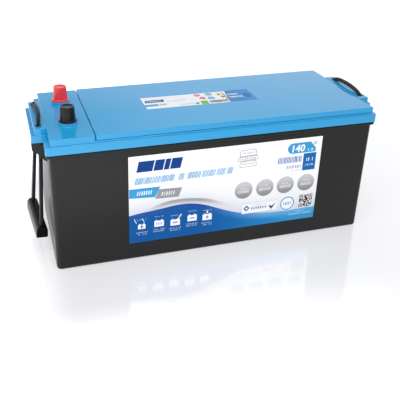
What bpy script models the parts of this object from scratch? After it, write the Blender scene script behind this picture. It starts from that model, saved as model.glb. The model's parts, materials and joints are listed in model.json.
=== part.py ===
"""Deep cycle battery, 12 V, 140 Ah class, in the long two-row box with both terminals at one end.

Frame: +X along the length (terminals at -X), +Y across the width, +Z up.
The origin is at the middle of the base. Sizes are written in millimetres times MM.
"""
import math

import bmesh
import bpy
from mathutils import Euler, Vector

MM = 0.001
GAP = 0.3 * MM                      # clearance between pieces that touch

# ---- driving dimensions -------------------------------------------------------------------
OVERALL_LENGTH = 513 * MM           # over the two handle ledges
WIDTH = 189 * MM                    # over the lid's skirt
SKIRT_LENGTH = 484 * MM
PLATEAU_LENGTH = 471 * MM
PLATEAU_WIDTH = 185 * MM
SEAM_X = -176.2 * MM                # where the terminal end of the lid meets the top cover

Z_FLANGE_LOW = 174.8 * MM           # container's flange
Z_FLANGE = 179.1 * MM
Z_SKIRT = Z_FLANGE + GAP            # lid's skirt stands on the flange
Z_LEDGE = 191.7 * MM                # top of the skirt
Z_DECK = 194.0 * MM                 # lid deck under the top cover
Z_TERMINAL_END = 201.0 * MM         # raised end of the lid that carries the terminals
Z_TOP = 202.0 * MM                  # top cover
Z_COLLAR = 205.3 * MM               # collar round each terminal
Z_POST = 223.0 * MM                 # top of the terminal cones, the stated height of the battery
Z_CAP = 226.6 * MM                  # top of the protective caps

# ---- container ----------------------------------------------------------------------------
CASE_LENGTH = 476 * MM              # just under the flange
CASE_WIDTH = 183.6 * MM
CASE_DRAFT = 1.0 * MM               # each wall leans in this much at the base
CASE_CORNER = 7 * MM
CASE_FOOT_ROUND = 4 * MM
FLANGE_INSET = 0.4 * MM             # the flange stays this far inside the lid's skirt
FLANGE_CORNER = 6 * MM
Z_WALL_TOP = 188 * MM               # container walls reach up inside the lid
WALL = 3.8 * MM
FLOOR = 3.5 * MM
PARTITION = 2.4 * MM
INNER_X = CASE_LENGTH / 2 - CASE_DRAFT - WALL
INNER_Y = CASE_WIDTH / 2 - CASE_DRAFT - WALL
CELL_LENGTH = (2 * INNER_X - 2 * PARTITION) / 3
CELL_WIDTH = INNER_Y - PARTITION / 2

# ---- handle ledges, ropes and grips -------------------------------------------------------
LEDGE_HALF_Y = 54 * MM
LEDGE_TIER_X = 252.0 * MM           # upper tier of the lid's ledge
Z_LEDGE_TIER = 192.6 * MM           # top of the outer tier
Z_LEDGE_UNDER = 181.9 * MM          # where the lid's ledge meets the container's lobe
ROPE_X = 245 * MM
ROPE_Y = 42 * MM
ROPE_RADIUS = 3 * MM
ROPE_HOLE = 3.5 * MM
ROPE_GROOVE = 3.4 * MM              # radius of the way that the rope leaves its ledge by
Z_PIVOT = 158 * MM                  # the rope bends here, just under the container's lobe
ROPE_DROP = {"left": 120 * MM, "right": 130 * MM}      # from the pivot to the grip's middle
GRIP_OFFSET = {"left": 9.5 * MM, "right": 9.5 * MM}   # how far the grip stands out from the pivot
GRIP_YAW = {"left": math.radians(3.5), "right": 0.0}   # its rear end swung outwards
GRIP_ROLL = {"left": math.radians(3.0), "right": 0.0}  # its rear end hanging lower
GRIP_LENGTH = 100 * MM
GRIP_WIDTH = 16.4 * MM
GRIP_HEIGHT = 18 * MM
GRIP_BORE = ROPE_RADIUS + 1 * MM    # half width of the channel that the rope runs through
GRIP_CHANNEL = 46 * MM              # half length of that channel

# The container's lobe under the ledge, as (distance from the middle, height) in millimetres:
# a short step up to the ledge, the outer face, a rounded lower edge and a sloping underside.
LOBE_OUTLINE = [(230, 179.1), (243.6, 179.1), (243.6, 181.6), (256.5, 181.6), (256.5, 172),
                (254, 168.2), (249, 166), (241.5, 156.4), (230, 147)]

# ---- terminals and caps -------------------------------------------------------------------
TERMINAL_X = -205 * MM
TERMINAL_Y = {"positive": 41.5 * MM, "negative": -41.5 * MM}
TERMINAL_BASE = {"positive": 9.6 * MM, "negative": 8.8 * MM}       # radius at the collar
TERMINAL_TAPER = 1.9 * MM / 2                                        # 1 in 9 on the diameter
POLE_RADIUS = 5.7 * MM
BUSH_BORE = POLE_RADIUS + GAP
BUSH_FOOT = 186 * MM                # the bush is moulded into the lid down to here
BUSH_HOLE = 10.3 * MM
BOSS_RADIUS = 15 * MM
COLLAR_RADIUS = 14.3 * MM

# ---- labels -------------------------------------------------------------------------------
FRONT_LABEL_X = (-133.5 * MM, 157 * MM)
FRONT_LABEL_Z = (27.8 * MM, 165 * MM)
TOP_LABEL_X = (-88.4 * MM, 83.4 * MM)
TOP_LABEL_Y = (-18.5 * MM, 28 * MM)
LABEL_THICK = 0.3 * MM
FLUSH = 0.1 * MM                    # how far the top label lies below the cover's face

# ---- plate packs --------------------------------------------------------------------------
POSITIVE_PLATES = 7
NEGATIVE_PLATES = POSITIVE_PLATES + 1
POSITIVE_THICK = 4.2 * MM
NEGATIVE_THICK = 3.0 * MM
MAT_THICK = 1.6 * MM
PLATE_LENGTH = 146 * MM
PLATE_LOW = 8 * MM
PLATE_HIGH = 150 * MM
STRAP_LOW = 160 * MM
STRAP_HIGH = 168 * MM
STRAP_WIDTH = 12 * MM
LUG_WIDTH = 10 * MM
OUTER_STRAP = 62 * MM               # strap's offset from the middle of its cell
POLE_STRAP = TERMINAL_X + CELL_LENGTH + PARTITION       # under the terminal, in the first and last cell
LINK_HALF = 7 * MM                  # half the width of a link between neighbouring straps
PLATE_PITCH = POSITIVE_THICK + NEGATIVE_THICK + 2 * (MAT_THICK + 2 * GAP)

COLLECTION = "deep_cycle_battery"
CUTTERS = "cutters"


# ---- scene, collections and materials -----------------------------------------------------
def clear_scene():
    for old in list(bpy.data.objects):
        bpy.data.objects.remove(old, do_unlink=True)


def new_collection(name):
    collection = bpy.data.collections.new(name)
    bpy.context.scene.collection.children.link(collection)
    return collection


def material(name, colour, roughness, metallic=0.0):
    made = bpy.data.materials.new(name)
    made.use_nodes = True
    shader = made.node_tree.nodes["Principled BSDF"]
    shader.inputs["Base Color"].default_value = (*colour, 1.0)
    shader.inputs["Roughness"].default_value = roughness
    shader.inputs["Metallic"].default_value = metallic
    return made


clear_scene()
parts = new_collection(COLLECTION)
cutters = new_collection(CUTTERS)

BLACK_PP = material("black_polypropylene", (0.035, 0.036, 0.038), 0.5)
BLUE_PP = material("blue_polypropylene", (0.055, 0.36, 0.79), 0.25)
RED_CAP = material("red_polyethylene", (0.68, 0.04, 0.045), 0.35)
BLACK_CAP = material("black_polyethylene", (0.02, 0.02, 0.022), 0.35)
LEAD = material("lead", (0.34, 0.35, 0.37), 0.5, 1.0)
POSITIVE_PASTE = material("lead_dioxide", (0.07, 0.035, 0.03), 0.9)
NEGATIVE_PASTE = material("sponge_lead", (0.2, 0.21, 0.22), 0.8)
GLASS_MAT = material("glass_mat", (0.82, 0.82, 0.8), 0.95)
GREY_PP = material("grey_polypropylene", (0.16, 0.16, 0.17), 0.5)
EPDM = material("epdm", (0.02, 0.02, 0.02), 0.8)
FRIT = material("porous_frit", (0.75, 0.74, 0.7), 0.95)
LABEL_FILM = material("label_film", (0.75, 0.8, 0.86), 0.35)
ROPE = material("black_rope", (0.02, 0.021, 0.025), 0.7)
GRIP = material("black_grip", (0.02, 0.02, 0.021), 0.4)


# ---- modelling helpers --------------------------------------------------------------------
def add(name, mesh, finish, collection=parts):
    made = bpy.data.objects.new(name, mesh)
    collection.objects.link(made)
    if finish is not None:
        made.data.materials.append(finish)
    if collection is cutters:
        made.hide_render = True
        made.display_type = "WIRE"
    return made


def mesh_from(name, bm):
    bmesh.ops.recalc_face_normals(bm, faces=bm.faces[:])
    mesh = bpy.data.meshes.new(name)
    bm.to_mesh(mesh)
    bm.free()
    return mesh


def block(name, x, y, z, finish=None, corner=0.0, foot=0.0, draft=0.0, collection=parts):
    """A box between (low, high) pairs, with rounded upright corners, a rounded foot and draft."""
    bm = bmesh.new()
    bmesh.ops.create_cube(bm, size=1.0)
    for vertex in bm.verts:
        vertex.co = [low + (c + 0.5) * (high - low) for c, (low, high) in zip(vertex.co, (x, y, z))]
    if draft:
        for vertex in bm.verts:
            if vertex.co.z < z[0] + 1e-6:
                vertex.co.x -= math.copysign(draft, vertex.co.x)
                vertex.co.y -= math.copysign(draft, vertex.co.y)
    if corner:
        upright = [e for e in bm.edges if abs(e.verts[0].co.z - e.verts[1].co.z) > 1e-6]
        bmesh.ops.bevel(bm, geom=upright, offset=corner, segments=4, profile=0.5, affect="EDGES")
    if foot:
        low = [e for e in bm.edges if all(v.co.z < z[0] + 1e-6 for v in e.verts)]
        bmesh.ops.bevel(bm, geom=low, offset=foot, segments=3, profile=0.5, affect="EDGES")
    return add(name, mesh_from(name, bm), finish, collection)


def drum(name, x, y, z, radius, top_radius=None, sides=16, finish=None, collection=cutters):
    """An upright cylinder or cone between two heights."""
    top_radius = radius if top_radius is None else top_radius
    bm = bmesh.new()
    bmesh.ops.create_cone(bm, cap_ends=True, segments=sides, radius1=radius, radius2=top_radius,
                          depth=z[1] - z[0])
    bmesh.ops.translate(bm, verts=bm.verts[:], vec=(x, y, (z[0] + z[1]) / 2))
    return add(name, mesh_from(name, bm), finish, collection)


def turned(name, profile, place, sides, finish, closed=False):
    """A profile of (radius, height) pairs, top to bottom down the outside, spun about Z."""
    bm = bmesh.new()
    points = [bm.verts.new((radius, 0.0, height)) for radius, height in profile]
    for start, end in zip(points, points[1:]):
        bm.edges.new((start, end))
    if closed:
        bm.edges.new((points[-1], points[0]))
    mesh = bpy.data.meshes.new(name)
    bm.to_mesh(mesh)
    bm.free()
    made = add(name, mesh, finish)
    made.location = place
    screw = made.modifiers.new("turn", "SCREW")
    screw.steps = screw.render_steps = sides
    screw.use_merge_vertices = True
    screw.merge_threshold = 0.00001
    return made


def prism(name, outline, y, finish=None, collection=parts):
    """An outline of (x, z) points pushed along Y between two values."""
    bm = bmesh.new()
    face = bm.faces.new([bm.verts.new((px, y[0], pz)) for px, pz in outline])
    pushed = bmesh.ops.extrude_face_region(bm, geom=[face])
    moved = [item for item in pushed["geom"] if isinstance(item, bmesh.types.BMVert)]
    bmesh.ops.translate(bm, verts=moved, vec=(0, y[1] - y[0], 0))
    return add(name, mesh_from(name, bm), finish, collection)


def combine(target, other, operation):
    step = target.modifiers.new(f"{operation.lower()}_{other.name}", "BOOLEAN")
    step.operation = operation
    step.object = other
    step.solver = "EXACT"


def cut(target, *others):
    for other in others:
        combine(target, other, "DIFFERENCE")


def join(target, *others):
    for other in others:
        combine(target, other, "UNION")


def both_ends(pair):
    """The (name, sign) pairs of the battery's two ends, or of a row's two sides."""
    return zip(pair, (-1, 1))


# ---- container ----------------------------------------------------------------------------
def cell_centres():
    """Cells in series order: front row from the terminal end, then back along the rear row."""
    step = CELL_LENGTH + PARTITION
    row = [-step, 0.0, step]
    middle = PARTITION / 2 + CELL_WIDTH / 2
    return [(x, -middle) for x in row] + [(x, middle) for x in reversed(row)]


def make_container():
    """An open box of six cells with a flange, and a lobe under each handle ledge."""
    case = block("container", (-CASE_LENGTH / 2, CASE_LENGTH / 2), (-CASE_WIDTH / 2, CASE_WIDTH / 2),
                 (0, Z_WALL_TOP), BLACK_PP, corner=CASE_CORNER, foot=CASE_FOOT_ROUND, draft=CASE_DRAFT)
    flange_x = SKIRT_LENGTH / 2 - FLANGE_INSET
    flange_y = WIDTH / 2 - FLANGE_INSET
    join(case, block("flange", (-flange_x, flange_x), (-flange_y, flange_y), (Z_FLANGE_LOW, Z_FLANGE),
                     corner=FLANGE_CORNER, collection=cutters))
    for end, sign in both_ends(("left", "right")):
        lobe = prism(f"lobe_{end}", [(sign * px * MM, pz * MM) for px, pz in LOBE_OUTLINE],
                     (-LEDGE_HALF_Y, LEDGE_HALF_Y), collection=cutters)
        join(case, lobe)
    for number, (x, y) in enumerate(cell_centres(), start=1):
        cut(case, block(f"cell_space_{number}", (x - CELL_LENGTH / 2, x + CELL_LENGTH / 2),
                        (y - CELL_WIDTH / 2, y + CELL_WIDTH / 2), (FLOOR, Z_WALL_TOP + 5 * MM),
                        collection=cutters))
    for end, sign in both_ends(("left", "right")):
        for side, hand in both_ends(("front", "rear")):
            cut(case, drum(f"lobe_hole_{end}_{side}", sign * ROPE_X, hand * ROPE_Y,
                           (140 * MM, 190 * MM), ROPE_HOLE, sides=12))
    return case


# ---- lid and top cover --------------------------------------------------------------------
def valve_places():
    return [(x, math.copysign(44 * MM, y)) for x, y in cell_centres()]


ARRESTOR_PLACES = {"left": (-120 * MM, 74 * MM), "right": (200 * MM, 74 * MM)}
ARRESTOR_RADIUS = 7 * MM
VALVE_HOLE = 9 * MM
Z_CEILING = Z_WALL_TOP + GAP        # underside of the lid's deck
THROUGH_LID = (176 * MM, 210 * MM)
MOUTH_DEPTH = 3.2 * MM              # flared mouth of each rope hole, set towards the other hole
MOUTH_SHIFT = 1.5 * MM
MOUTH_LOW = 3.2 * MM
MOUTH_HIGH = 5.6 * MM
COVER_WALL = 3 * MM
COVER_TOP = 2.4 * MM


def make_lid():
    """The skirt, deck, raised terminal end, handle ledges and terminal collars in one moulding."""
    half_x, half_y = SKIRT_LENGTH / 2, WIDTH / 2
    lid = block("lid", (-half_x, half_x), (-half_y, half_y), (Z_SKIRT, Z_LEDGE), BLUE_PP, corner=4 * MM)
    plateau_x, plateau_y = PLATEAU_LENGTH / 2, PLATEAU_WIDTH / 2
    join(lid, block("lid_deck", (-plateau_x, plateau_x), (-plateau_y, plateau_y), (186 * MM, Z_DECK),
                    corner=4 * MM, collection=cutters))
    join(lid, block("lid_terminal_end", (-plateau_x, SEAM_X), (-plateau_y, plateau_y),
                    (185 * MM, Z_TERMINAL_END), collection=cutters))
    for end, sign in both_ends(("left", "right")):
        inner = plateau_x - 1 * MM if sign < 0 else plateau_x + GAP
        tiers = {"outer": (OVERALL_LENGTH / 2, LEDGE_HALF_Y, Z_LEDGE_TIER),
                 "upper": (LEDGE_TIER_X, LEDGE_HALF_Y - 1.2 * MM, Z_TOP)}
        for tier, (reach, half_ledge, top) in tiers.items():
            span = sorted((sign * inner, sign * reach))
            join(lid, block(f"ledge_{tier}_{end}", span, (-half_ledge, half_ledge),
                            (Z_LEDGE_UNDER, top), corner=1.5 * MM, collection=cutters))
    for pole, y in TERMINAL_Y.items():
        join(lid, drum(f"collar_{pole}", TERMINAL_X, y, (195 * MM, Z_COLLAR), COLLAR_RADIUS + 0.4 * MM,
                       COLLAR_RADIUS, sides=32))
    inner_x, inner_y = CASE_LENGTH / 2 + GAP, CASE_WIDTH / 2 + GAP
    cut(lid, block("lid_inside", (-inner_x, inner_x), (-inner_y, inner_y), (170 * MM, Z_CEILING),
                   corner=CASE_CORNER, collection=cutters))
    cut(lid, block("terminal_end_inside", (-231 * MM, -180 * MM), (-88 * MM, 88 * MM),
                   (187 * MM, 197.5 * MM), collection=cutters))
    for pole, y in TERMINAL_Y.items():
        join(lid, drum(f"bush_boss_{pole}", TERMINAL_X, y, (Z_CEILING, 199 * MM), BOSS_RADIUS, sides=24))
        cut(lid, drum(f"bush_hole_{pole}", TERMINAL_X, y, THROUGH_LID, BUSH_HOLE, sides=24))
    for number, (x, y) in enumerate(valve_places(), start=1):
        cut(lid, drum(f"valve_hole_{number}", x, y, THROUGH_LID, VALVE_HOLE, sides=16))
    for end, (x, y) in ARRESTOR_PLACES.items():
        cut(lid, drum(f"arrestor_pocket_{end}", x, y, (191.4 * MM, 200 * MM), ARRESTOR_RADIUS + GAP))
        channel = drum(f"gas_channel_{end}", 0, 0, (-16 * MM, 16 * MM), 1.1 * MM, sides=8)
        channel.rotation_euler = (math.radians(90), 0, 0)
        channel.location = (x, y + 12 * MM, 191.6 * MM)
        cut(lid, channel)
    for end, sign in both_ends(("left", "right")):
        for side, hand in both_ends(("front", "rear")):
            x = sign * ROPE_X
            cut(lid, drum(f"ledge_hole_{end}_{side}", x, hand * ROPE_Y, THROUGH_LID, ROPE_HOLE, sides=12))
            cut(lid, drum(f"ledge_mouth_{end}_{side}", x, hand * (ROPE_Y - MOUTH_SHIFT),
                          (Z_TOP - MOUTH_DEPTH, Z_TOP + 1 * MM), MOUTH_LOW, MOUTH_HIGH, sides=16))
    cut(lid, groove("right_ledge_groove", arch_route("right", 1)))


def make_top_cover():
    """A flat tray upside down over the valves, closed at its edge on the lid's deck."""
    high_x, half_y = PLATEAU_LENGTH / 2, PLATEAU_WIDTH / 2
    low_x = SEAM_X + 2 * GAP
    cover = block("top_cover", (low_x, high_x), (-half_y, half_y), (Z_DECK + GAP, Z_TOP), BLUE_PP)
    cut(cover, block("gas_space", (low_x + COVER_WALL, high_x - COVER_WALL),
                     (-half_y + COVER_WALL, half_y - COVER_WALL),
                     (Z_DECK - 5 * MM, Z_TOP - COVER_TOP), collection=cutters))
    recess_x = (TOP_LABEL_X[0] - GAP, TOP_LABEL_X[1] + GAP)
    recess_y = (TOP_LABEL_Y[0] - GAP, TOP_LABEL_Y[1] + GAP)
    cut(cover, block("label_recess", recess_x, recess_y,
                     (Z_TOP - FLUSH - LABEL_THICK - GAP, Z_TOP + 1 * MM), collection=cutters))


# ---- valves and flame arrestors -----------------------------------------------------------
def make_valves():
    plug = [(0, 198.6), (6.5, 198.6), (11, 197.6), (11, 194.4), (8.6, 194.4), (8.6, 191.6), (7.2, 191.6),
            (7.2, 189.6), (8.6, 189.6), (8.6, 183), (0, 183)]
    seal = [(8.75, 191.2), (8.75, 190), (7.5, 190), (7.5, 191.2)]
    for number, (x, y) in enumerate(valve_places(), start=1):
        turned(f"valve_plug_{number}", [(r * MM, z * MM) for r, z in plug], (x, y, 0), 12, GREY_PP)
        turned(f"valve_seal_{number}", [(r * MM, z * MM) for r, z in seal], (x, y, 0), 12, EPDM, closed=True)


def make_flame_arrestors():
    for end, (x, y) in ARRESTOR_PLACES.items():
        drum(f"flame_arrestor_{end}", x, y, (193 * MM, 195.9 * MM), ARRESTOR_RADIUS,
             finish=FRIT, collection=parts)


# ---- terminals and caps -------------------------------------------------------------------
def make_terminals():
    for pole, y in TERMINAL_Y.items():
        base = TERMINAL_BASE[pole]
        place = (TERMINAL_X, y, 0)
        cone = [(base - TERMINAL_TAPER, Z_POST), (base, Z_COLLAR), (base, BUSH_FOOT),
                (BUSH_BORE, BUSH_FOOT), (BUSH_BORE, Z_POST)]
        turned(f"{pole}_bush", cone, place, 20, LEAD, closed=True)
        drum(f"{pole}_pole", TERMINAL_X, y, (STRAP_HIGH + GAP, Z_POST - 0.4 * MM), POLE_RADIUS,
             finish=LEAD, collection=parts)


def make_caps():
    """A tapered cup with a small flange, a shallow recess in its top and a raised rim."""
    z_low = Z_COLLAR + GAP
    cup = [(0, Z_CAP - 1.0 * MM), (7.4 * MM, Z_CAP - 1.0 * MM), (8.2 * MM, Z_CAP), (9.2 * MM, Z_CAP),
           (9.6 * MM, Z_CAP - 0.6 * MM), (10.75 * MM, z_low + 1.8 * MM), (12.6 * MM, z_low + 1.3 * MM),
           (12.6 * MM, z_low), (10.15 * MM, z_low), (8.98 * MM, Z_POST + 0.5 * MM),
           (0, Z_POST + 0.5 * MM)]
    for name, pole, finish in (("red_cap", "positive", RED_CAP), ("black_cap", "negative", BLACK_CAP)):
        turned(name, cup, (TERMINAL_X, TERMINAL_Y[pole], 0), 28, finish)


# ---- plate packs --------------------------------------------------------------------------
def strap_reach(count, thick):
    """How far a strap reaches each way from the middle of its cell."""
    return (count - 1) * PLATE_PITCH / 2 + thick / 2


def plate_group(name, x, y, count, thick, strap_offset, finish):
    """A row of plates whose lugs are burned into one lead strap."""
    half = PLATE_LENGTH / 2
    lug_low, lug_high = strap_offset - LUG_WIDTH / 2, strap_offset + LUG_WIDTH / 2
    outline = [(-half, PLATE_LOW), (half, PLATE_LOW), (half, PLATE_HIGH), (lug_high, PLATE_HIGH),
               (lug_high, STRAP_LOW + 2 * MM), (lug_low, STRAP_LOW + 2 * MM), (lug_low, PLATE_HIGH),
               (-half, PLATE_HIGH)]
    group = prism(name, outline, (-thick / 2, thick / 2), finish)
    first = -(count - 1) * PLATE_PITCH / 2
    group.location = (x, y + first, 0)
    row = group.modifiers.new("plates", "ARRAY")
    row.count = count
    row.use_relative_offset = False
    row.use_constant_offset = True
    row.constant_offset_displace = (0, PLATE_PITCH, 0)
    row.use_merge_vertices = False
    reach = strap_reach(count, thick)
    join(group, block(f"{name}_strap", (x + strap_offset - STRAP_WIDTH / 2, x + strap_offset + STRAP_WIDTH / 2),
                      (y - reach, y + reach), (STRAP_LOW, STRAP_HIGH), collection=cutters))
    return group


def folded_mat(name, x, y):
    """One glass mat folded back and forth round the upright ends of the plates."""
    inner = PLATE_LENGTH / 2 + GAP
    outer = inner + MAT_THICK
    layers = 2 * POSITIVE_PLATES
    first = -(layers - 1) * PLATE_PITCH / 4
    lopsided = (POSITIVE_THICK - NEGATIVE_THICK) / 4
    middles = [first + layer * PLATE_PITCH / 2 + (-lopsided if layer % 2 == 0 else lopsided)
               for layer in range(layers)]
    half = MAT_THICK / 2
    right = [(-outer, middles[0] - half)]
    left = [(-outer, middles[0] + half)]
    for layer, (here, following) in enumerate(zip(middles, middles[1:])):
        round_right = layer % 2 == 0
        turn = 1 if round_right else -1
        outside = [(turn * outer, here - half), (turn * outer, following + half)]
        inside = [(turn * inner, here + half), (turn * inner, following - half)]
        (right if round_right else left).extend(outside)
        (left if round_right else right).extend(inside)
    last_turn = 1 if layers % 2 == 1 else -1
    right.append((last_turn * outer, middles[-1] + (half if last_turn < 0 else -half)))
    left.append((last_turn * outer, middles[-1] + (half if last_turn > 0 else -half)))
    bm = bmesh.new()
    face = bm.faces.new([bm.verts.new((px, py, PLATE_LOW - 3 * MM)) for px, py in right + left[::-1]])
    pushed = bmesh.ops.extrude_face_region(bm, geom=[face])
    moved = [item for item in pushed["geom"] if isinstance(item, bmesh.types.BMVert)]
    bmesh.ops.translate(bm, verts=moved, vec=(0, 0, PLATE_HIGH - PLATE_LOW + 6 * MM))
    made = add(name, mesh_from(name, bm), GLASS_MAT)
    made.location = (x, y, 0)
    return made


def make_cells(case):
    """Six cells in series, joined by lead links welded through the partitions."""
    centres = cell_centres()
    strap_offsets = {}
    for number, (x, y) in enumerate(centres, start=1):
        forward = OUTER_STRAP if number <= 3 else -OUTER_STRAP
        positive = POLE_STRAP if number == 6 else forward
        negative = POLE_STRAP if number == 1 else -forward
        strap_offsets[number] = (positive, negative)
        plate_group(f"cell_{number}_positive_plates", x, y, POSITIVE_PLATES, POSITIVE_THICK, positive,
                    POSITIVE_PASTE)
        plate_group(f"cell_{number}_negative_plates", x, y, NEGATIVE_PLATES, NEGATIVE_THICK, negative,
                    NEGATIVE_PASTE)
        folded_mat(f"cell_{number}_glass_mat", x, y)

    low, high = STRAP_LOW + 1 * MM, STRAP_HIGH - 1 * MM
    for number in range(1, 6):
        (x, y), (next_x, next_y) = centres[number - 1], centres[number]
        start = x + strap_offsets[number][0]
        end = next_x + strap_offsets[number + 1][1]
        if number == 3:
            reach = strap_reach(POSITIVE_PLATES, POSITIVE_THICK)
            reach_next = strap_reach(NEGATIVE_PLATES, NEGATIVE_THICK)
            span_x = (start - LUG_WIDTH / 2, start + LUG_WIDTH / 2)
            span_y = (y + reach + GAP, next_y - reach_next - GAP)
        else:
            span_x = sorted((start, end))
            span_x = (span_x[0] + STRAP_WIDTH / 2 + GAP, span_x[1] - STRAP_WIDTH / 2 - GAP)
            span_y = (y - LINK_HALF, y + LINK_HALF)
        block(f"cell_link_{number}", span_x, span_y, (low, high), LEAD)
        window_x = (span_x[0] - GAP, span_x[1] + GAP)
        window_y = (span_y[0] - GAP, span_y[1] + GAP)
        cut(case, block(f"link_window_{number}", window_x, window_y, (low - GAP, high + GAP),
                        collection=cutters))


# ---- labels -------------------------------------------------------------------------------
def make_labels():
    """A film on the leaning front wall, and one sunk flush in the cover."""
    lean = math.atan(CASE_DRAFT / Z_WALL_TOP)
    front = block("front_label", FRONT_LABEL_X, (-LABEL_THICK - GAP, -GAP),
                  FRONT_LABEL_Z, LABEL_FILM)
    front.location = (0, -CASE_WIDTH / 2 + CASE_DRAFT, 0)
    front.rotation_euler = (lean, 0, 0)
    block("top_label", TOP_LABEL_X, TOP_LABEL_Y, (Z_TOP - FLUSH - LABEL_THICK, Z_TOP - FLUSH), LABEL_FILM)


# ---- rope handles -------------------------------------------------------------------------
def smooth_route(points, spacing):
    """Points about one spacing apart on a Catmull-Rom curve through the given points."""
    points = [Vector(p) for p in points]
    ends = [2 * points[0] - points[1]] + points + [2 * points[-1] - points[-2]]
    route = [points[0]]
    for before, start, end, after in zip(ends, ends[1:], ends[2:], ends[3:]):
        steps = max(1, round((end - start).length / spacing))
        for step in range(1, steps + 1):
            t = step / steps
            route.append(0.5 * (2 * start + (end - before) * t
                                + (2 * before - 5 * start + 4 * end - after) * t ** 2
                                + (3 * start - before - 3 * end + after) * t ** 3))
    return route


def arch_route(end, sign):
    """The arch's points in metres at the end with this sign."""
    return [(sign * (ROPE_X - lean * MM), y * MM, z * MM) for lean, y, z in ARCHES[end]]


def groove(name, points):
    """A mesh tube a little thicker than the rope, to cut its way out of the ledge."""
    route = rope(f"{name}_route", points, radius=ROPE_GROOVE)
    tube = bpy.data.objects.new(name, bpy.data.meshes.new_from_object(route))
    bpy.data.objects.remove(route, do_unlink=True)
    cutters.objects.link(tube)
    tube.hide_render = True
    tube.display_type = "WIRE"
    return tube


def rope(name, points, spacing=9 * MM, domed=False, radius=ROPE_RADIUS):
    """A tube along a smooth route. Domed ends stay inside a ball about the route's two ends."""
    curve = bpy.data.curves.new(name, "CURVE")
    curve.dimensions = "3D"
    curve.bevel_depth = radius
    curve.bevel_resolution = 2
    curve.use_fill_caps = True
    route = [(place, 1.0) for place in smooth_route(points, spacing)]
    if domed:
        first, last = route[0][0], route[-1][0]
        before = [(first + Vector((0, 0, high * ROPE_RADIUS)), wide) for high, wide in DOME]
        after = [(last + Vector((0, 0, high * ROPE_RADIUS)), wide) for high, wide in reversed(DOME)]
        route = before + route + after
    spline = curve.splines.new("POLY")
    spline.points.add(len(route) - 1)
    for point, (place, share) in zip(spline.points, route):
        point.co = (*place, 1.0)
        point.radius = share
    made = bpy.data.objects.new(name, curve)
    parts.objects.link(made)
    curve.materials.append(ROPE)
    return made


# A dome on the end of a hanging loop, as shares of the rope's radius: (height, width).
DOME = [(0.95, 0.3), (0.7, 0.7)]

# Each arch as (lean towards the middle, y, z) in millimetres: up out of the front hole, over the
# ledge and down the rear hole. The right one is a low bow, the left one stands up to one side.
ARCHES = {
    "left": [(0, -42, 161.3), (0, -42, 172), (0, -42, 186), (0, -42, 198), (0.2, -41.7, 203.5),
             (0.9, -39, 208.4), (1.7, -32, 211.6), (2.2, -20, 212.2), (2.2, -4, 210.8),
             (1.9, 12, 208.4), (1.2, 25, 206.4), (0.6, 32.6, 205.5), (0.1, 37.6, 204.7),
             (0, 40.9, 202), (0, 42, 197), (0, 42, 186), (0, 42, 172), (0, 42, 161.3)],
    "right": [(0, -42, 161.3), (0, -42, 172), (0, -42, 186), (0, -42, 194), (0, -41, 198.8),
              (0, -38, 202.2), (0, -33, 204.6), (0, -25, 206.4), (0, -13, 207.7), (0, 0, 208.1),
              (0, 13, 207.7), (0, 25, 206.4), (0, 33, 204.6), (0, 38, 202.2), (0, 41, 198.8),
              (0, 42, 194), (0, 42, 186), (0, 42, 172), (0, 42, 161.3)],
}


def hung(point, drop, turn):
    """Turns a point of the loop with the grip: not at all at the pivot, fully from the grip down."""
    x, y, z = point
    level = max(z, -drop)
    share = -level / drop
    turned = Euler([share * angle for angle in turn]).to_matrix() @ Vector((x, y, z - level))
    return turned + Vector((0, 0, level))


def hanging_route(drop, turn):
    """The hanging loop about its pivot: down the front strand, through the grip, up the rear one."""
    run = drop + 2 * MM
    down = [(0, -ROPE_Y, -depth * run) for depth in (0.0, 0.2, 0.4, 0.6, 0.78, 0.9)]
    bend = [(0, -ROPE_Y + 0.7 * MM, -run + 5 * MM), (0, -ROPE_Y + 3.2 * MM, -run + 1.4 * MM),
            (0, -ROPE_Y + 8 * MM, -run), (0, -ROPE_Y + 20 * MM, -run)]
    half = down + bend
    loop = half + [(x, -y, z) for x, y, z in reversed(half)]
    return [hung(point, drop, turn) for point in loop]


def make_handle(end, sign):
    rope(f"{end}_rope_arch", arch_route(end, sign))
    drop = ROPE_DROP[end]
    tilt = math.asin(GRIP_OFFSET[end] / drop)
    turn = (-GRIP_ROLL[end], 0, GRIP_YAW[end])
    pivot = bpy.data.objects.new(f"{end}_handle_pivot", None)
    parts.objects.link(pivot)
    pivot.location = (sign * ROPE_X, 0, Z_PIVOT)
    pivot.rotation_euler = (0, -sign * tilt, 0)

    loop = rope(f"{end}_rope_loop", hanging_route(drop, turn), 12 * MM, domed=True)
    loop.parent = pivot
    half_w, half_h = GRIP_WIDTH / 2, GRIP_HEIGHT / 2
    crown = [(math.cos(a) * half_w, half_h - half_w + math.sin(a) * half_w)
             for a in (math.pi * step / 8 for step in range(9))]
    outline = [(-half_w, -half_h)] + [(half_w, -half_h)] + crown
    grip = prism(f"{end}_grip", outline, (-GRIP_LENGTH / 2, GRIP_LENGTH / 2), GRIP)
    grip.location = (0, 0, -drop)
    grip.rotation_euler = turn
    grip.parent = pivot
    tools = [block(f"{end}_grip_channel", (-GRIP_BORE, GRIP_BORE), (-GRIP_CHANNEL, GRIP_CHANNEL),
                   (-6 * MM, 5 * MM), collection=cutters)]
    for side, hand in both_ends(("front", "rear")):
        tools.append(drum(f"{end}_grip_hole_{side}", 0, hand * ROPE_Y, (-3 * MM, 20 * MM), GRIP_BORE, sides=12))
    for tool in tools:
        tool.parent = pivot
        tool.location = (0, 0, -drop)
        tool.rotation_euler = turn
    cut(grip, *tools)


# ---- build --------------------------------------------------------------------------------
def main():
    case = make_container()
    make_lid()
    make_top_cover()
    make_cells(case)
    make_terminals()
    make_caps()
    make_valves()
    make_flame_arrestors()
    make_labels()
    for end, sign in both_ends(("left", "right")):
        make_handle(end, sign)


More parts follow.
